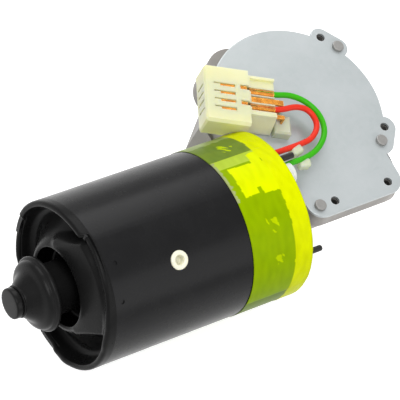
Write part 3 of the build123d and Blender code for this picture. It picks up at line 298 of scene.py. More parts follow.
@dataclass(frozen=True)
class Finish:
    """One surface finish: a colour that drifts a little, a grain, and rubbed edges where it has any,
    which on brass and zinc are also painted glints.

    Scales are counts per metre. The painted hollow shade is the reach, in metres, over which a recess is
    darkened with painted shade.
    """

    name: str
    colour: Colour
    second: Colour
    roughness: float
    metallic: float = 0.0
    mottle: float = 0.5
    mottle_scale: float = 90.0
    grain: float = 0.15
    fine_scale: float = 2500.0
    coarse_scale: float = 300.0
    coarse_share: float = 0.4
    worn_and_glint: Colour | None = None
    wear_and_glint: float = 0.0
    coat: float = 0.0
    scatter: float = 0.0
    opacity: float = 1.0
    spangle: float = 0.0
    specular: float = 0.5
    painted_hollow_shade: float = 0.0
    painted_shade_share: float = 0.12
    smoothest: float = 0.85
    roughest: float = 1.2
    grain_depth: float = 0.0004
    spangle_scale: float = 420.0
    coat_roughness: float = 0.12
    scatter_radius: Colour = (0.009, 0.0075, 0.0035)

    def build(self, effects: SharedEffects) -> bpy.types.Material:
        """Makes the material.

        Args:
            effects: the shared node groups.

        Returns:
            The material, ready to assign.
        """
        material = bpy.data.materials.new(self.name)
        material.use_nodes = True
        tree = ShaderTree(material.node_tree)
        output = tree.add("OutputMaterial")
        shader = tree.add("BsdfPrincipled", Roughness=self.roughness, Metallic=self.metallic)
        tree.link(shader.outputs[0], output.inputs["Surface"])
        self._set_constants(shader)
        colour, mask = self._colour(tree, effects)
        # Painted shade: the colour is darkened deep in recesses by ambient occlusion.
        if self.painted_hollow_shade:
            dark = (*(self.painted_shade_share * value for value in self.colour), 1.0)
            shade = tree.group(effects.painted_hollow_shade, Reach=self.painted_hollow_shade, Shade_Color=dark)
            tree.link(colour, shade.inputs["Color"])
            colour = shade.outputs["Color"]
        tree.link(colour, shader.inputs["Base Color"])
        rough = tree.add(
            "MapRange",
            To_Min=self.roughness * self.smoothest,
            To_Max=min(1.0, self.roughness * self.roughest),
        )
        tree.link(mask, rough.inputs["Value"])
        tree.link(rough.outputs[0], shader.inputs["Roughness"])
        grain = tree.group(
            effects.grain,
            Fine_Scale=self.fine_scale,
            Coarse_Scale=self.coarse_scale,
            Coarse_Share=self.coarse_share,
        )
        bump = tree.add("Bump", Strength=self.grain, Distance=self.grain_depth)
        tree.link(grain.outputs["Height"], bump.inputs["Height"])
        tree.link(bump.outputs[0], shader.inputs["Normal"])
        return material

    def _set_constants(self, shader: Node) -> None:
        """Sets the sockets that are the same all over the surface."""
        shader.inputs["Specular IOR Level"].default_value = self.specular
        shader.inputs["Coat Weight"].default_value = self.coat
        shader.inputs["Coat Roughness"].default_value = self.coat_roughness
        shader.inputs["Subsurface Weight"].default_value = self.scatter
        shader.inputs["Subsurface Radius"].default_value = self.scatter_radius
        shader.inputs["Subsurface Scale"].default_value = 1.0
        shader.inputs["Alpha"].default_value = self.opacity

    def _colour(self, tree: ShaderTree, effects: SharedEffects) -> tuple[Socket, Socket]:
        """Builds the colour.

        Args:
            tree: the material's builder.
            effects: the shared node groups.

        Returns:
            The colour's socket and the mottle mask's socket.
        """
        mottle = tree.group(
            effects.mottle,
            Color=(*self.colour, 1.0),
            Second_Color=(*self.second, 1.0),
            Scale=self.mottle_scale,
            Amount=self.mottle,
        )
        colour, mask = mottle.outputs["Color"], mottle.outputs["Mask"]
        if self.spangle:
            flakes = tree.group(effects.spangle, Scale=self.spangle_scale)
            share = tree.add("Math", operation="MULTIPLY")
            share.inputs[1].default_value = self.spangle
            pale = tree.add("RGB")
            pale.outputs[0].default_value = (*self.second, 1.0)
            tree.link(flakes.outputs["Mask"], share.inputs[0])
            colour = tree.mix(share.outputs[0], colour, pale.outputs[0])
        # Rubbed edges; on brass and zinc their pale colour is also a painted glint.
        if self.worn_and_glint:
            wear_and_glint = tree.group(effects.edge_wear_and_glint, Worn_Color=(*self.worn_and_glint, 1.0), Amount=self.wear_and_glint)
            tree.link(colour, wear_and_glint.inputs["Color"])
            colour = wear_and_glint.outputs["Color"]
        return colour, mask


@dataclass(frozen=True)
class TapeFinish(Finish):
    """Glossy tape whose tint is painted on its mesh, painted shade and a painted sheen included."""

    tint: str = "tint"

    def _colour(self, tree: ShaderTree, effects: SharedEffects) -> tuple[Socket, Socket]:
        """Builds the colour from the painted tint.

        Args:
            tree: the material's builder.
            effects: the shared node groups.

        Returns:
            The colour's socket and the mottle mask's socket.
        """
        painted = tree.add("Attribute", attribute_name=self.tint)
        mottle = tree.group(
            effects.mottle,
            Second_Color=(*self.second, 1.0),
            Scale=self.mottle_scale,
            Amount=self.mottle,
        )
        tree.link(painted.outputs["Color"], mottle.inputs["Color"])
        return mottle.outputs["Color"], mottle.outputs["Mask"]


BLACK_PAINT = Finish(
    "black_paint", (0.0085, 0.0085, 0.0090), (0.012, 0.012, 0.0125), 0.28, grain=0.05, specular=0.1,
)
# Painted shade darkens its recesses.
SHIELD_BLACK = Finish(
    "shield_black", (0.008, 0.008, 0.008), (0.012, 0.012, 0.012), 0.3, grain=0.06, specular=0.05,
    worn_and_glint=(0.03, 0.03, 0.03), wear_and_glint=0.3, painted_hollow_shade=0.03,
)
# Painted shade darkens its recesses.
CAP_PLASTIC = Finish(
    "cap_plastic", (0.008, 0.008, 0.008), (0.013, 0.013, 0.013), 0.3, grain=0.05, specular=0.08,
    painted_hollow_shade=0.03,
)
# Painted shade darkens its holes and recesses.
CAST_ALLOY = Finish(
    "cast_alloy", (0.285, 0.27, 0.25), (0.21, 0.20, 0.185), 0.55, metallic=0.35, grain=0.6,
    fine_scale=1400.0, worn_and_glint=(0.55, 0.54, 0.52), wear_and_glint=0.5, mottle_scale=60.0, painted_hollow_shade=0.005,
)
# Its pale edges are partly rubbed wear and partly a painted highlight on the edges.
ZINC_PLATE = Finish(
    "zinc_plate", (0.40, 0.435, 0.44), (0.455, 0.48, 0.49), 0.42, metallic=0.45, grain=0.08,
    spangle=0.35, worn_and_glint=(0.74, 0.74, 0.74), wear_and_glint=0.6, mottle_scale=35.0,
)
RIVET_STEEL = Finish(
    "rivet_steel", (0.27, 0.265, 0.255), (0.215, 0.21, 0.20), 0.42, metallic=0.5, grain=0.3,
    worn_and_glint=(0.55, 0.55, 0.55), wear_and_glint=0.5, mottle_scale=400.0,
)
# Painted shade darkens its hollows.
WHITE_NYLON = Finish(
    "white_nylon", (0.68, 0.70, 0.66), (0.60, 0.62, 0.57), 0.35, grain=0.05, scatter=0.2,
    painted_hollow_shade=0.004,
)
# Painted shade darkens its bore.
RING_NYLON = Finish(
    "ring_nylon", (0.86, 0.84, 0.66), (0.78, 0.76, 0.56), 0.35, grain=0.05, scatter=0.1,
    painted_hollow_shade=0.003,
)
IVORY_NYLON = Finish(
    "ivory_nylon", (0.72, 0.71, 0.43), (0.66, 0.65, 0.34), 0.34, grain=0.06, scatter=0.6,
    mottle_scale=50.0,
)
MILKY_NYLON = Finish(
    "milky_nylon", (0.70, 0.76, 0.52), (0.78, 0.82, 0.62), 0.25, grain=0.08, scatter=0.5,
    opacity=0.72,
)
# Its bright gold edges are partly rubbed wear and partly painted glints.
TERMINAL_BRASS = Finish(
    "terminal_brass", (0.72, 0.31, 0.045), (0.42, 0.14, 0.02), 0.24, metallic=0.85, grain=0.35,
    mottle_scale=420.0, mottle=0.9, worn_and_glint=(1.0, 0.72, 0.25), wear_and_glint=0.8,
)
GREEN_INSULATION = Finish(
    "green_insulation", (0.045, 0.42, 0.008), (0.035, 0.36, 0.006), 0.3, grain=0.04, specular=0.1,
)
RED_INSULATION = Finish(
    "red_insulation", (0.74, 0.036, 0.018), (0.66, 0.030, 0.014), 0.3, grain=0.04, specular=0.12,
)
RUBBER = Finish("rubber", (0.018, 0.018, 0.018), (0.03, 0.03, 0.03), 0.6, grain=0.2)
BLACK_SCREW = Finish(
    "black_screw", (0.012, 0.012, 0.011), (0.02, 0.019, 0.017), 0.4, metallic=0.2, grain=0.2,
    worn_and_glint=(0.12, 0.12, 0.11), wear_and_glint=0.4, specular=0.3,
)
GROUND_STEEL = Finish(
    "ground_steel", (0.58, 0.58, 0.57), (0.50, 0.50, 0.49), 0.25, metallic=0.95, grain=0.1,
)
SPRING_STEEL = Finish(
    "spring_steel", (0.42, 0.42, 0.43), (0.34, 0.34, 0.35), 0.35, metallic=0.9, grain=0.1,
)
CORE_STEEL = Finish("core_steel", (0.20, 0.20, 0.21), (0.14, 0.14, 0.15), 0.5, metallic=0.7, grain=0.3)
COPPER = Finish("copper", (0.72, 0.30, 0.14), (0.55, 0.20, 0.09), 0.35, metallic=0.95, grain=0.15)
ENAMEL_COPPER = Finish(
    "enamel_copper", (0.50, 0.17, 0.05), (0.34, 0.10, 0.03), 0.3, metallic=0.6, grain=0.6,
    fine_scale=900.0, coat=0.4,
)
BRONZE = Finish("bronze", (0.42, 0.28, 0.12), (0.33, 0.21, 0.09), 0.5, metallic=0.8, grain=0.35)
CARBON = Finish("carbon", (0.035, 0.033, 0.032), (0.05, 0.047, 0.045), 0.6, grain=0.3)
FERRITE = Finish("ferrite", (0.05, 0.05, 0.052), (0.07, 0.07, 0.072), 0.65, grain=0.35)
COMPOUND = Finish("compound", (0.12, 0.06, 0.03), (0.09, 0.045, 0.025), 0.45, grain=0.15)
GEAR_NYLON = Finish("gear_nylon", (0.78, 0.74, 0.60), (0.70, 0.66, 0.50), 0.4, grain=0.05, scatter=0.15)
YELLOW_TAPE = TapeFinish(
    "yellow_tape", (0.8, 0.9, 0.0), (0.42, 0.52, 0.0), 0.38, mottle=0.12, grain=0.12,
    mottle_scale=120.0, coarse_share=0.8, coarse_scale=220.0, specular=0.02,
)

NODE_FINISHES: dict[Finish, tuple[str, ...]] = {
    BLACK_PAINT: ("motor_casing",),
    SHIELD_BLACK: ("end_shield",),
    CAP_PLASTIC: ("bearing_cap",),
    CAST_ALLOY: ("gear_housing",),
    ZINC_PLATE: ("cover_plate",),
    RIVET_STEEL: ("cover_rivets", "thrust_locknut"),
    WHITE_NYLON: ("brush_plate", "contact_carrier"),
    RING_NYLON: ("vent_eyelet",),
    IVORY_NYLON: ("connector_housing",),
    MILKY_NYLON: ("terminal_foot", "wire_clips"),
    TERMINAL_BRASS: (
        "low_speed_terminal", "high_speed_terminal", "park_terminal", "earth_terminal",
        "park_contacts", "park_disc", "brush_holders",
    ),
    RUBBER: ("wire_grommets", "cover_gasket", "shaft_seal"),
    BLACK_SCREW: ("brush_plate_screws", "thrust_screw"),
    GROUND_STEEL: (
        "armature_shaft", "output_shaft", "bearing_outer_ring", "bearing_inner_ring",
        "bearing_balls",
    ),
    SPRING_STEEL: (
        "common_brush_spring", "low_speed_brush_spring", "high_speed_brush_spring", "bush_retainer",
        "ball_cage", "wheel_circlip",
    ),
    CORE_STEEL: ("armature_core",),
    COPPER: ("commutator",),
    ENAMEL_COPPER: ("armature_winding", "chokes"),
    BRONZE: ("rear_bush", "worm_end_bush", "output_bushes", "wheel_washer", "thrust_pad"),
    CARBON: ("common_brush", "low_speed_brush", "high_speed_brush"),
    FERRITE: ("magnets",),
    COMPOUND: ("commutator_hub", "thermal_cutout"),
    GEAR_NYLON: ("worm_wheel",),
}


@dataclass
class FinishShop:
    """Builds each finish once and puts it on pieces."""

    effects: SharedEffects

    def __post_init__(self) -> None:
        """Starts with no material built."""
        self.built: dict[str, bpy.types.Material] = {}

    def material(self, finish: Finish) -> bpy.types.Material:
        """Gives a finish's material, built at its first use."""
        if finish.name not in self.built:
            self.built[finish.name] = finish.build(self.effects)
        return self.built[finish.name]

    def coat(self, piece: bpy.types.Object, finish: Finish) -> None:
        """Puts one finish on a whole piece."""
        piece.data.materials.clear()
        piece.data.materials.append(self.material(finish))

    def dress_nodes(self, nodes: dict[str, bpy.types.Object]) -> None:
        """Gives every solid of the frame its finish.

        Args:
            nodes: the frame's solids by name.
        """
        for finish, names in NODE_FINISHES.items():
            for name in names:
                self.coat(nodes[name], finish)
                log.info("%s: %s", name, finish.name)


class TapeZone(Enum):
    """What lies under a place on the tape, as the tint that shows through; the painted sheen zone is
    instead a painted reflection, lighter and greyer, toward the tape's upper edge.
    """

    SINGLE = (0.142, 0.218, 0.030)
    DOUBLE = (0.237, 0.372, 0.0)
    CASTING = (0.67, 0.735, 0.0)
    LIFTED = (0.68, 0.775, 0.0)
    CRINKLE = (0.46, 0.60, 0.0)
    HAZE = (0.42, 0.56, 0.05)
    # Painted reflection: a lighter, greyer tint toward the upper edge.
    PAINTED_SHEEN = (0.27, 0.345, 0.115)
    FILM = (0.33, 0.37, 0.17)
    RAISED_EDGE = (0.40, 0.52, 0.03)


@dataclass(frozen=True)
class MotorFrame:
    """The motor's own frame: distance from the casing's rim and its axis, and angle from +Y to +Z."""

    axis_y: float
    axis_z: float
    rim: float
    radius: float

    @classmethod
    def of_casing(cls) -> "MotorFrame":
        """Reads the frame off the motor casing."""
        low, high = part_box("motor_casing")
        middle = (low + high) / 2
        return cls(middle.y, middle.z, low.x, (high.y - low.y) / 2)

    def place(self, along: float, outward: float, angle: float) -> Point:
        """Gives a point of the scene.

        Args:
            along: distance from the rim towards the gearbox, in metres.
            outward: distance from the axis, in metres.
            angle: angle round the axis, in degrees.

        Returns:
            The point.
        """
        turn = radians(angle)
        y = self.axis_y + outward * cos(turn)
        z = self.axis_z + outward * sin(turn)
        return (self.rim + along, y, z)


def add_object(name: str, data: bpy.types.ID) -> bpy.types.Object:
    """Makes an object and brings it into the scene."""
    thing = bpy.data.objects.new(name, data)
    bpy.context.scene.collection.objects.link(thing)
    return thing


def round_mesh(name: str, rows: Sequence[Sequence[Point]]) -> bpy.types.Object:
    """Joins rows of points into a smooth surface that closes on itself.

    Args:
        name: the piece's name.
        rows: equally long rows of points, one for each step on the way round.

    Returns:
        The new piece, placed in the scene.
    """
    width = len(rows[0])
    faces = []
    for row in range(len(rows)):
        near, far = row * width, (row + 1) % len(rows) * width
        faces += [(near + i, near + i + 1, far + i + 1, far + i) for i in range(width - 1)]
    mesh = bpy.data.meshes.new(name)
    mesh.from_pydata([point for row in rows for point in row], [], faces)
    mesh.shade_smooth()
    return add_object(name, mesh)


def smooth_step(value: float) -> float:
    """Eases a value from 0 to 1."""
    value = min(max(value, 0.0), 1.0)
    return value * value * (3.0 - 2.0 * value)


def rounded(outline: Sequence[Sequence[float]], rounds: int) -> list[tuple[float, ...]]:
    """Rounds the corners of an outline.

    Args:
        outline: corner points of any number of values each.
        rounds: how often each corner is cut.

    Returns:
        The rounded outline, as many points for the same number of corners.
    """
    points = [tuple(point) for point in outline]
    for _ in range(rounds):
        cut = [points[0]]
        for first, second in zip(points, points[1:]):
            cut.append(tuple(0.75 * one + 0.25 * two for one, two in zip(first, second)))
            cut.append(tuple(0.25 * one + 0.75 * two for one, two in zip(first, second)))
        points = cut + [points[-1]]
    return points


@dataclass
class RearShield:
    """The pressed shield round the rear bearing: a flat lobe to the rim, a trough elsewhere and a lip.

    The profile gives distance from the motor's axis, then distance from the casing's rim in the trough
    and on the lobe, all in millimetres. The lip line gives how far the lip steps back at an angle.
    Angles are in degrees.
    """

    motor: MotorFrame
    lobe_angle: float = 123.0
    lobe_half_width: float = 24.0
    lobe_fade: float = 5.0
    lobe_start: float = 2.0
    lip_start: float = 33.0
    lip_fade: float = 2.0
    lip_line: tuple[Place, ...] = (
        (0.0, 0.0), (10.0, -0.3), (60.0, -0.3), (82.0, -0.2), (85.0, 1.9), (88.0, 2.1), (120.0, 1.0),
        (150.0, -0.6), (163.0, -1.2), (172.0, -0.7), (195.0, -0.4), (220.0, -0.4), (232.0, -0.6),
        (244.0, 0.2), (254.0, 1.7), (270.0, 1.8), (300.0, 2.9), (312.0, 1.8), (322.0, 1.3),
        (341.0, 1.6), (346.0, 3.2), (352.0, 3.0), (357.0, 1.2), (360.0, 0.0),
    )
    angles: int = 480
    profile: tuple[Point, ...] = (
        (10.0, 6.5, 6.5), (16.0, 6.5, 6.5), (17.4, 5.0, 5.0), (17.6, -1.5, -1.5), (17.9, -2.7, -2.8),
        (18.9, -3.0, -3.2), (20.8, -1.8, -3.2), (23.5, 1.4, -2.9), (27.5, 5.2, -2.4), (31.5, 7.4, -1.9),
        (34.2, 5.8, -1.4), (35.0, 1.0, -1.2), (35.3, -1.2, -1.3), (36.2, -1.7, -1.8), (37.5, -1.5, -1.6),
        (38.06, -0.6, -0.7), (38.06, 1.4, 1.4), (38.04, 2.6, 2.6), (37.9, 2.8, 2.8),
    )
    skirt: float = 1.0
    corner_cuts: int = 3

    def lobe(self, outward: float, angle: float) -> float:
        """Gives how much of a place lies on the raised lobe, from 0 to 1."""
        turn = radians(angle - self.lobe_angle)
        along_lobe, across = outward * cos(turn), abs(outward * sin(turn))
        inside = smooth_step((self.lobe_half_width - across) / self.lobe_fade)
        return inside * smooth_step((along_lobe - self.lobe_start) / self.lobe_fade)

    def setback(self, angle: float) -> float:
        """Gives how far the lip steps back towards the motor at an angle, in millimetres."""
        for (start, near), (end, far) in zip(self.lip_line, self.lip_line[1:]):
            if start <= angle <= end:
                return near + (far - near) * smooth_step((angle - start) / (end - start))
        return 0.0

    def build(self, shop: FinishShop) -> None:
        """Makes the shield, which stands for the frame's plainer one.

        Args:
            shop: where its finish comes from.
        """
        profile = rounded(self.profile, self.corner_cuts)
        rows = []
        for step in range(self.angles):
            angle = 360.0 * step / self.angles
            back = self.setback(angle)
            row = []
            for outward, trough, raised in profile:
                along = trough + self.lobe(outward, angle) * (raised - trough)
                if along < self.skirt:
                    along += back * smooth_step((outward - self.lip_start) / self.lip_fade)
                row.append(self.motor.place(along * MILLIMETRE, outward * MILLIMETRE, angle))
            rows.append(row)
        piece = round_mesh("rear_shield", rows)
        shop.coat(piece, SHIELD_BLACK)
        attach(piece, "housing")
        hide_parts("end_shield")
        log.info("rear_shield: %d angles", self.angles)


@dataclass
class RearSnout:
    """The moulded cap over the rear bearing: a button, a waist, a flare and a double collar.

    Its outline is pairs of millimetres: distance from the casing's rim, distance from the motor's axis.
    """

    motor: MotorFrame
    angles: int = 128
    outline: tuple[Place, ...] = (
        (-26.7, 0.0), (-26.7, 5.9), (-26.5, 6.7), (-25.9, 6.9), (-24.4, 6.9), (-23.9, 6.8), (-23.8, 6.2),
        (-23.4, 6.2), (-23.3, 7.0), (-22.9, 7.4), (-22.5, 7.2), (-22.2, 7.1), (-21.2, 7.9), (-19.7, 9.2),
        (-18.0, 10.6), (-17.0, 11.8), (-16.4, 13.4), (-15.8, 14.6), (-14.8, 15.3), (-13.8, 15.5),
        (-13.5, 15.6), (-13.2, 16.3), (-12.6, 16.8), (-11.5, 16.8), (-11.0, 16.5), (-10.8, 15.6),
        (-10.7, 12.4), (-10.2, 11.7), (-8.0, 11.6), (3.0, 11.6), (8.0, 11.6),
    )

    def build(self, shop: FinishShop) -> None:
        """Makes the cap, which stands for the frame's plainer one.

        Args:
            shop: where its finish comes from.
        """
        outline = rounded(self.outline, SMOOTH_EDGE_CUTS)
        rows = [
            [
                self.motor.place(along * MILLIMETRE, outward * MILLIMETRE, 360.0 * step / self.angles)
                for along, outward in outline
            ]
            for step in range(self.angles)
        ]
        piece = round_mesh("rear_snout", rows)
        shop.coat(piece, CAP_PLASTIC)
        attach(piece, "housing")
        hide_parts("bearing_cap")
        log.info("rear_snout: %d points on its outline", len(outline))


@dataclass(frozen=True)
class Ripple:
    """A soft unevenness of the tape: how fast it changes along and round the motor, and its seed."""

    per_metre: float
    per_degree: float
    seed: float

    def at(self, along: float, angle: float) -> float:
        """Gives the height at a place in metres and degrees, from about -1 to 1."""
        return noise.noise(Vector((along * self.per_metre, angle * self.per_degree, self.seed)))


@dataclass
class JointTape:
    """The tape wound once and a third round the joint.

    Places on it are pairs: distance from the casing's rim in millimetres, and angle in degrees. The patch
    is the outline of the part that has lifted. A crinkle is its middle place, then its half length and
    half turn. Heights, depths and the edge's wave are in millimetres.
    """

    motor: MotorFrame
    start: float = 73.3 * MILLIMETRE
    joint: float = 95.8 * MILLIMETRE
    end: float = 105.0 * MILLIMETRE
    thickness: float = 0.15 * MILLIMETRE
    lap_start: float = 63.5
    lap_end: float = 176.5
    # Painted shade: the tape is darkened on the sides that turn away from this angle, which faces the
    # light.
    face_angle: float = 108.0
    side_start: float = 20.0
    side_fade: float = 60.0
    side_shade: float = 0.16
    # Painted light and shade of soft creases, in the tint only.
    crease_shade: float = 0.10
    shade_ripple: Ripple = Ripple(420.0, 0.11, 9.0)
    # The tape is darker within a little of its two edges.
    edge_darkening: float = 0.14
    edge_darkening_width: float = 0.7
    raised_edge: float = 1.0
    haze: float = 9.0
    # The painted sheen reaches up to this angle, with a wavering end.
    sheen_end: float = 38.0
    sheen_waver: float = 6.0
    film_start: float = 64.0
    film_end: float = 99.0
    film_depth: float = 1.3
    film_rag: float = 1.4
    film_rags: float = 0.5
    film_seed: Place = (1.0, 2.0)
    arc_per_degree: float = 0.667
    waver: float = 0.35
    waver_size: float = 2.2
    rest_height: float = 0.05
    lifted_height: float = 0.12
    casting_height: float = 0.10
    casting_crease: float = 0.16
    casting_ripple: Ripple = Ripple(700.0, 0.22, 3.0)
    edge_wave: float = 0.25
    edge_waves: int = 3
    crinkle_seed: float = 5.0
    crinkle_across: Place = (0.55, -0.22)
    crinkle_down: Place = (0.10, 0.16)
    crinkle_level: float = 0.10
    crinkle_fade: float = 0.22
    columns: int = 80
    rows: int = 720
    patch: tuple[Place, ...] = (
        (78.0, 73.5), (89.0, 74.5), (90.5, 75.0), (91.0, 67.0), (93.0, 65.5), (95.9, 65.5), (95.9, 98.5),
        (91.0, 98.5), (88.0, 98.0), (87.5, 93.0), (85.5, 92.5), (85.7, 96.5), (78.2, 97.3),
    )
    crinkled: tuple[tuple[float, float, float, float], ...] = (
        (86.5, 117.0, 3.4, 8.0), (87.0, 144.0, 4.0, 7.0), (86.0, 51.0, 4.5, 7.0),
    )

    def zone(self, along: float, angle: float) -> TapeZone:
        """Says what lies under a place, or that it gets the painted sheen.

        Args:
            along: distance from the casing's rim, in metres.
            angle: angle round the motor, in degrees.

        Returns:
            The zone at that place.
        """
        place = Vector((along / MILLIMETRE, angle * self.arc_per_degree, 0.0)) / self.waver_size
        waver = self.waver * noise.noise(place)
        if self._inside(along / MILLIMETRE + waver, angle + waver):
            return TapeZone.LIFTED
        if along > self.joint + waver * MILLIMETRE:
            return TapeZone.CASTING
        if self._crinkled(along / MILLIMETRE, angle):
            return TapeZone.CRINKLE
        if self.film_start < angle < self.film_end:
            rag = noise.noise(Vector((angle * self.film_rags, *self.film_seed)))
            if along < self.start + (self.film_depth + self.film_rag * rag) * MILLIMETRE:
                return TapeZone.FILM
        if self.lap_start < angle < self.lap_start + self.raised_edge:
            return TapeZone.RAISED_EDGE
        if self.lap_start < angle < self.lap_start + self.haze:
            return TapeZone.HAZE
        # The painted sheen toward the tape's upper edge.
        if angle < self.sheen_end + self.sheen_waver * waver:
            return TapeZone.PAINTED_SHEEN
        if self.lap_start < angle < self.lap_end:
            return TapeZone.DOUBLE
        return TapeZone.SINGLE

    def _inside(self, along: float, angle: float) -> bool:
        """Says whether a place in millimetres and degrees lies in the lifted patch."""
        inside = False
        for (near, start), (far, end) in zip(self.patch, self.patch[1:] + self.patch[:1]):
            crosses = (start > angle) != (end > angle)
            if crosses and along < near + (angle - start) / (end - start) * (far - near):
                inside = not inside
        return inside

    def _crinkled(self, along: float, angle: float) -> bool:
        """Says whether the tape has lifted in a thin crinkle at a place in millimetres and degrees."""
        for middle, turn, half_length, half_turn in self.crinkled:
            far = ((along - middle) / half_length) ** 2 + ((angle - turn) / half_turn) ** 2
            if far < 1.0:
                across = along * self.crinkle_across[0] + angle * self.crinkle_across[1]
                down = along * self.crinkle_down[0] + angle * self.crinkle_down[1]
                streak = noise.noise(Vector((across, down, self.crinkle_seed)))
                return streak > self.crinkle_level + self.crinkle_fade * far
        return False

    def _shade(self, along: float, angle: float) -> float:
        """Gives how bright the tape is at a place: painted shade on the sides turned from the light,
        painted shading of its soft creases, and darker within a little of its edges.
        """
        side = smooth_step((abs(angle - self.face_angle) - self.side_start) / self.side_fade)
        crease = self.shade_ripple.at(along, angle)
        edge = min(along - self.start, self.end - along) / MILLIMETRE
        edge_dark = self.edge_darkening * (1.0 - smooth_step(edge / self.edge_darkening_width))
        return (1.0 - self.side_shade * side + self.crease_shade * crease) * (1.0 - edge_dark)

    def lift(self, along: float, angle: float, zone: TapeZone) -> float:
        """Gives the height of the tape over the casing, in metres.

        Args:
            along: distance from the casing's rim, in metres.
            angle: angle round the motor, in degrees.
            zone: the zone at that place.

        Returns:
            The height of the tape's inner face.
        """
        height = self.rest_height * MILLIMETRE
        if self.lap_start < angle < self.lap_end:
            height += self.thickness
        if zone is TapeZone.LIFTED:
            height += self.lifted_height * MILLIMETRE
        if zone is TapeZone.CASTING:
            crease = self.casting_ripple.at(along, angle)
            height += (self.casting_height + self.casting_crease * crease) * MILLIMETRE
        return height

    def build(self, shop: FinishShop) -> None:
        """Makes the tape, which stands for the frame's plain band.

        Args:
            shop: where its finish comes from.
        """
        rows: list[list[Point]] = []
        tints: list[float] = []
        for step in range(self.rows):
            angle = 360.0 * step / self.rows
            wave = self.edge_wave * MILLIMETRE * sin(radians(self.edge_waves * angle))
            row = []
            for column in range(self.columns + 1):
                along = self.start + (self.end - self.start) * column / self.columns
                along += wave * column / self.columns
                zone = self.zone(along, angle)
                outward = self.motor.radius + self.lift(along, angle, zone)
                row.append(self.motor.place(along, outward, angle))
                # The tint is the zone's colour times the painted shade.
                shade = self._shade(along, angle)
                tints.extend((*(shade * value for value in zone.value), 1.0))
            rows.append(row)
        piece = round_mesh("tape", rows)
        paint = piece.data.color_attributes.new(YELLOW_TAPE.tint, "FLOAT_COLOR", "POINT")
        paint.data.foreach_set("color", tints)
        shell = piece.modifiers.new("thickness", "SOLIDIFY")
        shell.thickness = self.thickness
        shell.offset = -1.0
        shop.coat(piece, YELLOW_TAPE)
        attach(piece, "housing")
        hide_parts("joint_tape")
        log.info("tape: %d faces", len(piece.data.polygons))


@dataclass
class Lead:
    """One insulated lead, from its crimp in the connector to the hole in the motor's flange.

    The route is in millimetres. The exit point is the place on it where the lead leaves the connector; it
    is not used.
    """

    name: str
    node: str
    finish: Finish
    route: tuple[Point, ...]
    exit_point: int = 1
    radius: float = 1.35 * MILLIMETRE

    def build(self, shop: FinishShop) -> None:
        """Makes the lead as a round curve along its route.

        Args:
            shop: where its finish comes from.
        """
        curve = bpy.data.curves.new(self.name, "CURVE")
        curve.dimensions = "3D"
        curve.bevel_depth = self.radius
        curve.bevel_resolution = 8
        curve.use_fill_caps = True
        curve.resolution_u = 14
        spline = curve.splines.new("NURBS")
        spline.points.add(len(self.route) - 1)
        for point, place in zip(spline.points, self.route):
            point.co = (*(value * MILLIMETRE for value in place), 1.0)
        spline.order_u = 3
        spline.use_endpoint_u = True
        piece = add_object(self.name, curve)
        piece.data.materials.append(shop.material(self.finish))
        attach(piece, "housing")
        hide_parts(self.node)


GREEN_LEAD = Lead(
    "green_lead", "green_wire", GREEN_INSULATION,
    (
        (-21.84, 10.01, 46.8), (-14.17, 6.10, 46.8), (-6.2, 3.8, 46.6), (0.0, -2.1, 46.2),
        (2.6, -10.7, 46.0), (-0.3, -19.2, 46.0), (-8.0, -25.1, 46.2), (-17.3, -27.6, 47.2),
        (-26.4, -28.2, 49.6), (-34.5, -29.85, 51.6), (-42.2, -29.85, 51.6),
    ),
)
RED_LEAD = Lead(
    "red_lead", "red_wire", RED_INSULATION,
    (
        (-25.53, 2.76, 46.8), (-16.62, -1.78, 46.8), (-6.6, -2.2, 46.6), (-1.1, -6.2, 46.1),
        (-1.2, -14.1, 46.0), (-7.8, -19.4, 46.0), (-15.3, -20.2, 46.4), (-24.2, -21.0, 48.4),
        (-34.0, -21.55, 50.0), (-43.6, -21.55, 50.0),
    ),
)


@dataclass
class VentRing:
    """The nylon ring pressed into the casing's vent: a round flange, a bore and its inner wall.

    Its outline is pairs: distance from the bore's axis, and height over the casing, in millimetres.
    """

    motor: MotorFrame
    along: float = 37.0
    angle: float = 120.1
    steps: int = 72
    outline: tuple[Place, ...] = (
        (4.25, -0.6), (4.25, 0.1), (4.05, 0.55), (3.5, 0.8), (2.9, 0.85), (2.35, 0.7), (2.1, 0.2),
        (2.0, -1.0), (1.95, -2.6), (1.0, -2.7), (0.0, -2.7),
    )

    def build(self, shop: FinishShop) -> None:
        """Makes the ring, which stands for the frame's plainer one.

        Args:
            shop: where its finish comes from.
        """
        radius = self.motor.radius / MILLIMETRE
        rows = []
        for step in range(self.steps):
            turn = 2.0 * pi * step / self.steps
            row = []
            for reach, height in rounded(self.outline, SMOOTH_EDGE_CUTS):
                aside = degrees(reach * sin(turn) / radius)
                along = (self.along + reach * cos(turn)) * MILLIMETRE
                outward = (radius + height) * MILLIMETRE
                row.append(self.motor.place(along, outward, self.angle + aside))
            rows.append(row)
        piece = round_mesh("vent_ring", rows)
        shop.coat(piece, RING_NYLON)
        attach(piece, "housing")
        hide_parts("vent_eyelet")
        log.info("vent_ring: %d steps", self.steps)


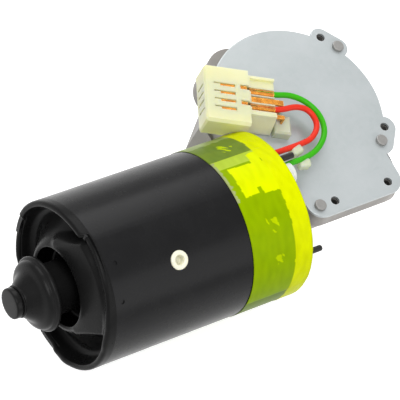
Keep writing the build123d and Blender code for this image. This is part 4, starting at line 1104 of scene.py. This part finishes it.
@dataclass
class BrushSpring:
    """The coil spring behind a brush, made at its length at rest, though the real one shortens as the
    brush slides back.

    Sizes are in millimetres: along from the casing's rim, start from the motor's axis outwards, room as
    the spring's length at rest and wire as the wire's radius. The end gap is counted in wire radii.
    """

    motor: MotorFrame
    brush: str
    angle: float
    along: float = 76.0
    start: float = 22.5
    room: float = 6.2
    radius: float = 1.7
    wire: float = 0.28
    end_gap: float = 1.2
    turns: float = 4.0
    travel: float = 2.5
    sides: int = 8
    steps: int = 96

    def point(self, along: float, aside: float, outward: float) -> Point:
        """Gives a point of the scene from places along, across and away from the motor's axis."""
        x, y, z = self.motor.place(along * MILLIMETRE, outward * MILLIMETRE, self.angle)
        turn = radians(self.angle)
        return (x, y - aside * MILLIMETRE * sin(turn), z + aside * MILLIMETRE * cos(turn))

    def build(self, shop: FinishShop) -> None:
        """Makes the spring, which stands for the frame's plainer one.

        Args:
            shop: where its finish comes from.
        """
        gap = self.end_gap * self.wire
        length = self.room - 2.0 * gap
        rows = []
        for side in range(self.sides):
            round_wire = 2.0 * pi * side / self.sides
            row = []
            for step in range(self.steps + 1):
                share = step / self.steps
                spin = 2.0 * pi * self.turns * share
                reach = self.radius + self.wire * cos(round_wire)
                outward = self.start + gap + length * share + self.wire * sin(round_wire)
                row.append(self.point(self.along + reach * cos(spin), reach * sin(spin), outward))
            rows.append(row)
        piece = round_mesh(f"{self.brush}_coil", rows)
        shop.coat(piece, SPRING_STEEL)
        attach(piece, "housing")
        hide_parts(f"{self.brush}_spring")
        anchor = self.point(self.along, 0.0, self.start + self.room)
        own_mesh(piece)
        log.info("%s: %d steps", piece.name, self.steps)


BRUSH_ANGLES = {"common_brush": 0.0, "low_speed_brush": 180.0, "high_speed_brush": 240.0}


@dataclass
class SoftClips:
    """The two milky clips that hold the leads, as rounded blocks at places in millimetres."""

    size: Point = (6.2 * MILLIMETRE, 4.4 * MILLIMETRE, 5.0 * MILLIMETRE)
    edge: float = 1.5 * MILLIMETRE
    places: tuple[Point, ...] = ((-19.2, -22.7, 46.2), (-19.0, -29.5, 46.0))
    turns: tuple[float, ...] = (6.0, -14.0)
    edge_steps: int = 4

    def build(self, shop: FinishShop) -> None:
        """Makes the clips, which stand for the frame's plainer ones.

        Args:
            shop: where their finish comes from.
        """
        form = bmesh.new()
        for place, turn in zip(self.places, self.turns):
            where = Matrix.Translation(Vector(place) * MILLIMETRE)
            where @= Matrix.Rotation(radians(turn), 4, "Z") @ Matrix.Diagonal((*self.size, 1.0))
            bmesh.ops.create_cube(form, size=1.0, matrix=where)
        bmesh.ops.bevel(
            form, geom=form.edges[:], offset=self.edge, segments=self.edge_steps, profile=0.5,
            affect="EDGES",
        )
        mesh = bpy.data.meshes.new("soft_clips")
        form.to_mesh(mesh)
        form.free()
        mesh.shade_smooth()
        piece = add_object("soft_clips", mesh)
        shop.coat(piece, MILKY_NYLON)
        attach(piece, "housing")
        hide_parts("wire_clips")
        log.info("soft_clips: %d clips", len(self.places))


@dataclass(frozen=True)
class Lamp:
    """A square soft lamp: its place and its side in metres, and its power in watts."""

    name: str
    place: Point
    size: float
    power: float

    def build(self, aim: Point) -> None:
        """Hangs the lamp so that it faces the aim."""
        data = bpy.data.lights.new(self.name, "AREA")
        data.size = self.size
        data.energy = self.power
        lamp = add_object(self.name, data)
        lamp.location = self.place
        lamp.rotation_euler = (Vector(self.place) - Vector(aim)).to_track_quat("Z", "Y").to_euler()


@dataclass
class Studio:
    """The floor, the lamps, the plain background and the camera, in metres and degrees.

    The floor's glow and the world's light are strengths: the glow is what the camera sees on top of the
    lit floor, and the world's light is what reaches the object.
    """

    aim: Point = (-0.06164, -0.02090, 0.024)
    distance: float = 1.19863
    azimuth: float = -121.25
    elevation: float = 53.884
    roll: float = 33.694
    lens: float = 243.142
    sensor: float = 36.0
    sight: float = 20.0
    floor_drop: float = 0.002
    floor_half: float = 4.0
    floor_tone: Colour = (0.86, 0.86, 0.86)
    floor_roughness: float = 0.9
    floor_glow: float = 0.55
    world_light: float = 0.36
    lamps: tuple[Lamp, ...] = (
        Lamp("key", (-0.55, -0.25, 1.1), 0.7, 9.0),
        Lamp("back", (0.2, 0.9, 0.9), 0.9, 9.0),
        Lamp("fill", (0.3, -1.0, 0.6), 0.8, 4.0),
    )

    def camera(self) -> None:
        """Sets the camera where the photograph was taken from."""
        level = cos(radians(self.elevation))
        turn = radians(self.azimuth)
        away = Vector((level * sin(turn), level * cos(turn), sin(radians(self.elevation))))
        flat_right = Vector((0.0, 0.0, 1.0)).cross(away).normalized()
        flat_up = away.cross(flat_right)
        roll = radians(self.roll)
        right = flat_right * cos(roll) + flat_up * sin(roll)
        up = away.cross(right)
        data = bpy.data.cameras.new("camera")
        data.lens = self.lens
        data.sensor_width = self.sensor
        data.sensor_fit = "HORIZONTAL"
        data.clip_end = self.sight
        camera = add_object("camera", data)
        place = Vector(self.aim) + away * self.distance
        camera.matrix_world = Matrix(
            (
                (right.x, up.x, away.x, place.x),
                (right.y, up.y, away.y, place.y),
                (right.z, up.z, away.z, place.z),
                (0.0, 0.0, 0.0, 1.0),
            )
        )
        bpy.context.scene.camera = camera

    def floor(self, low: float) -> None:
        """Lays a pale floor that keeps the object's shadow.

        Args:
            low: the height of the object's lowest point.
        """
        mesh = bpy.data.meshes.new("floor")
        height = low - self.floor_drop
        signs = ((-1, -1), (1, -1), (1, 1), (-1, 1))
        corners = [(x * self.floor_half, y * self.floor_half, height) for x, y in signs]
        mesh.from_pydata(corners, [], [(0, 1, 2, 3)])
        floor = add_object("floor", mesh)
        material = bpy.data.materials.new("floor_white")
        material.use_nodes = True
        tree = ShaderTree(material.node_tree)
        output = tree.add("OutputMaterial")
        shader = tree.add("BsdfPrincipled", Roughness=self.floor_roughness, Specular_IOR_Level=0.0)
        shader.inputs["Base Color"].default_value = (*self.floor_tone, 1.0)
        shader.inputs["Emission Color"].default_value = (1.0, 1.0, 1.0, 1.0)
        seen = self._seen(tree)
        glow = tree.add("Math", operation="MULTIPLY")
        glow.inputs[1].default_value = self.floor_glow
        tree.link(seen, glow.inputs[0])
        tree.link(glow.outputs[0], shader.inputs["Emission Strength"])
        tree.link(shader.outputs[0], output.inputs["Surface"])
        mesh.materials.append(material)

    @staticmethod
    def _seen(tree: ShaderTree) -> Socket:
        """Gives 1 for rays from the camera, a mirror or through a clear piece, else 0."""
        path = tree.add("LightPath")
        seen = path.outputs["Is Camera Ray"]
        for kind in ("Is Glossy Ray", "Is Transmission Ray"):
            either = tree.add("Math", operation="MAXIMUM")
            tree.link(seen, either.inputs[0])
            tree.link(path.outputs[kind], either.inputs[1])
            seen = either.outputs[0]
        return seen

    def background(self) -> None:
        """Makes the world white where it is seen and dimmer where it only lights."""
        world = bpy.data.worlds.new("studio")
        bpy.context.scene.world = world
        world.use_nodes = True
        tree = ShaderTree(world.node_tree)
        output = tree.add("OutputWorld")
        shader = tree.add("Background", Color=(1.0, 1.0, 1.0, 1.0))
        strength = tree.add("MapRange", To_Min=self.world_light, To_Max=1.0)
        tree.link(self._seen(tree), strength.inputs["Value"])
        tree.link(strength.outputs[0], shader.inputs["Strength"])
        tree.link(shader.outputs[0], output.inputs["Surface"])

    def build(self, low: float) -> None:
        """Sets up camera, background, floor and lamps.

        Args:
            low: the height of the object's lowest point.
        """
        self.camera()
        self.background()
        self.floor(low)
        for lamp in self.lamps:
            lamp.build(self.aim)
        bpy.context.scene.view_settings.view_transform = "Standard"
        log.info("studio is set")


def main() -> None:
    """Builds the dressed motor, piece by piece."""
    logging.basicConfig(level=logging.INFO, format="%(name)s: %(message)s")
    Studio().build(cad_box[0][2])
    shop = FinishShop(SharedEffects())
    for lead in (GREEN_LEAD, RED_LEAD):
        lead.build(shop)
    shop.dress_nodes(frame["nodes"])
    motor = MotorFrame.of_casing()
    JointTape(motor).build(shop)
    RearShield(motor).build(shop)
    RearSnout(motor).build(shop)
    VentRing(motor).build(shop)
    for brush, angle in BRUSH_ANGLES.items():
        BrushSpring(motor, brush, angle).build(shop)
    SoftClips().build(shop)


if __name__ == "__main__":
    main()
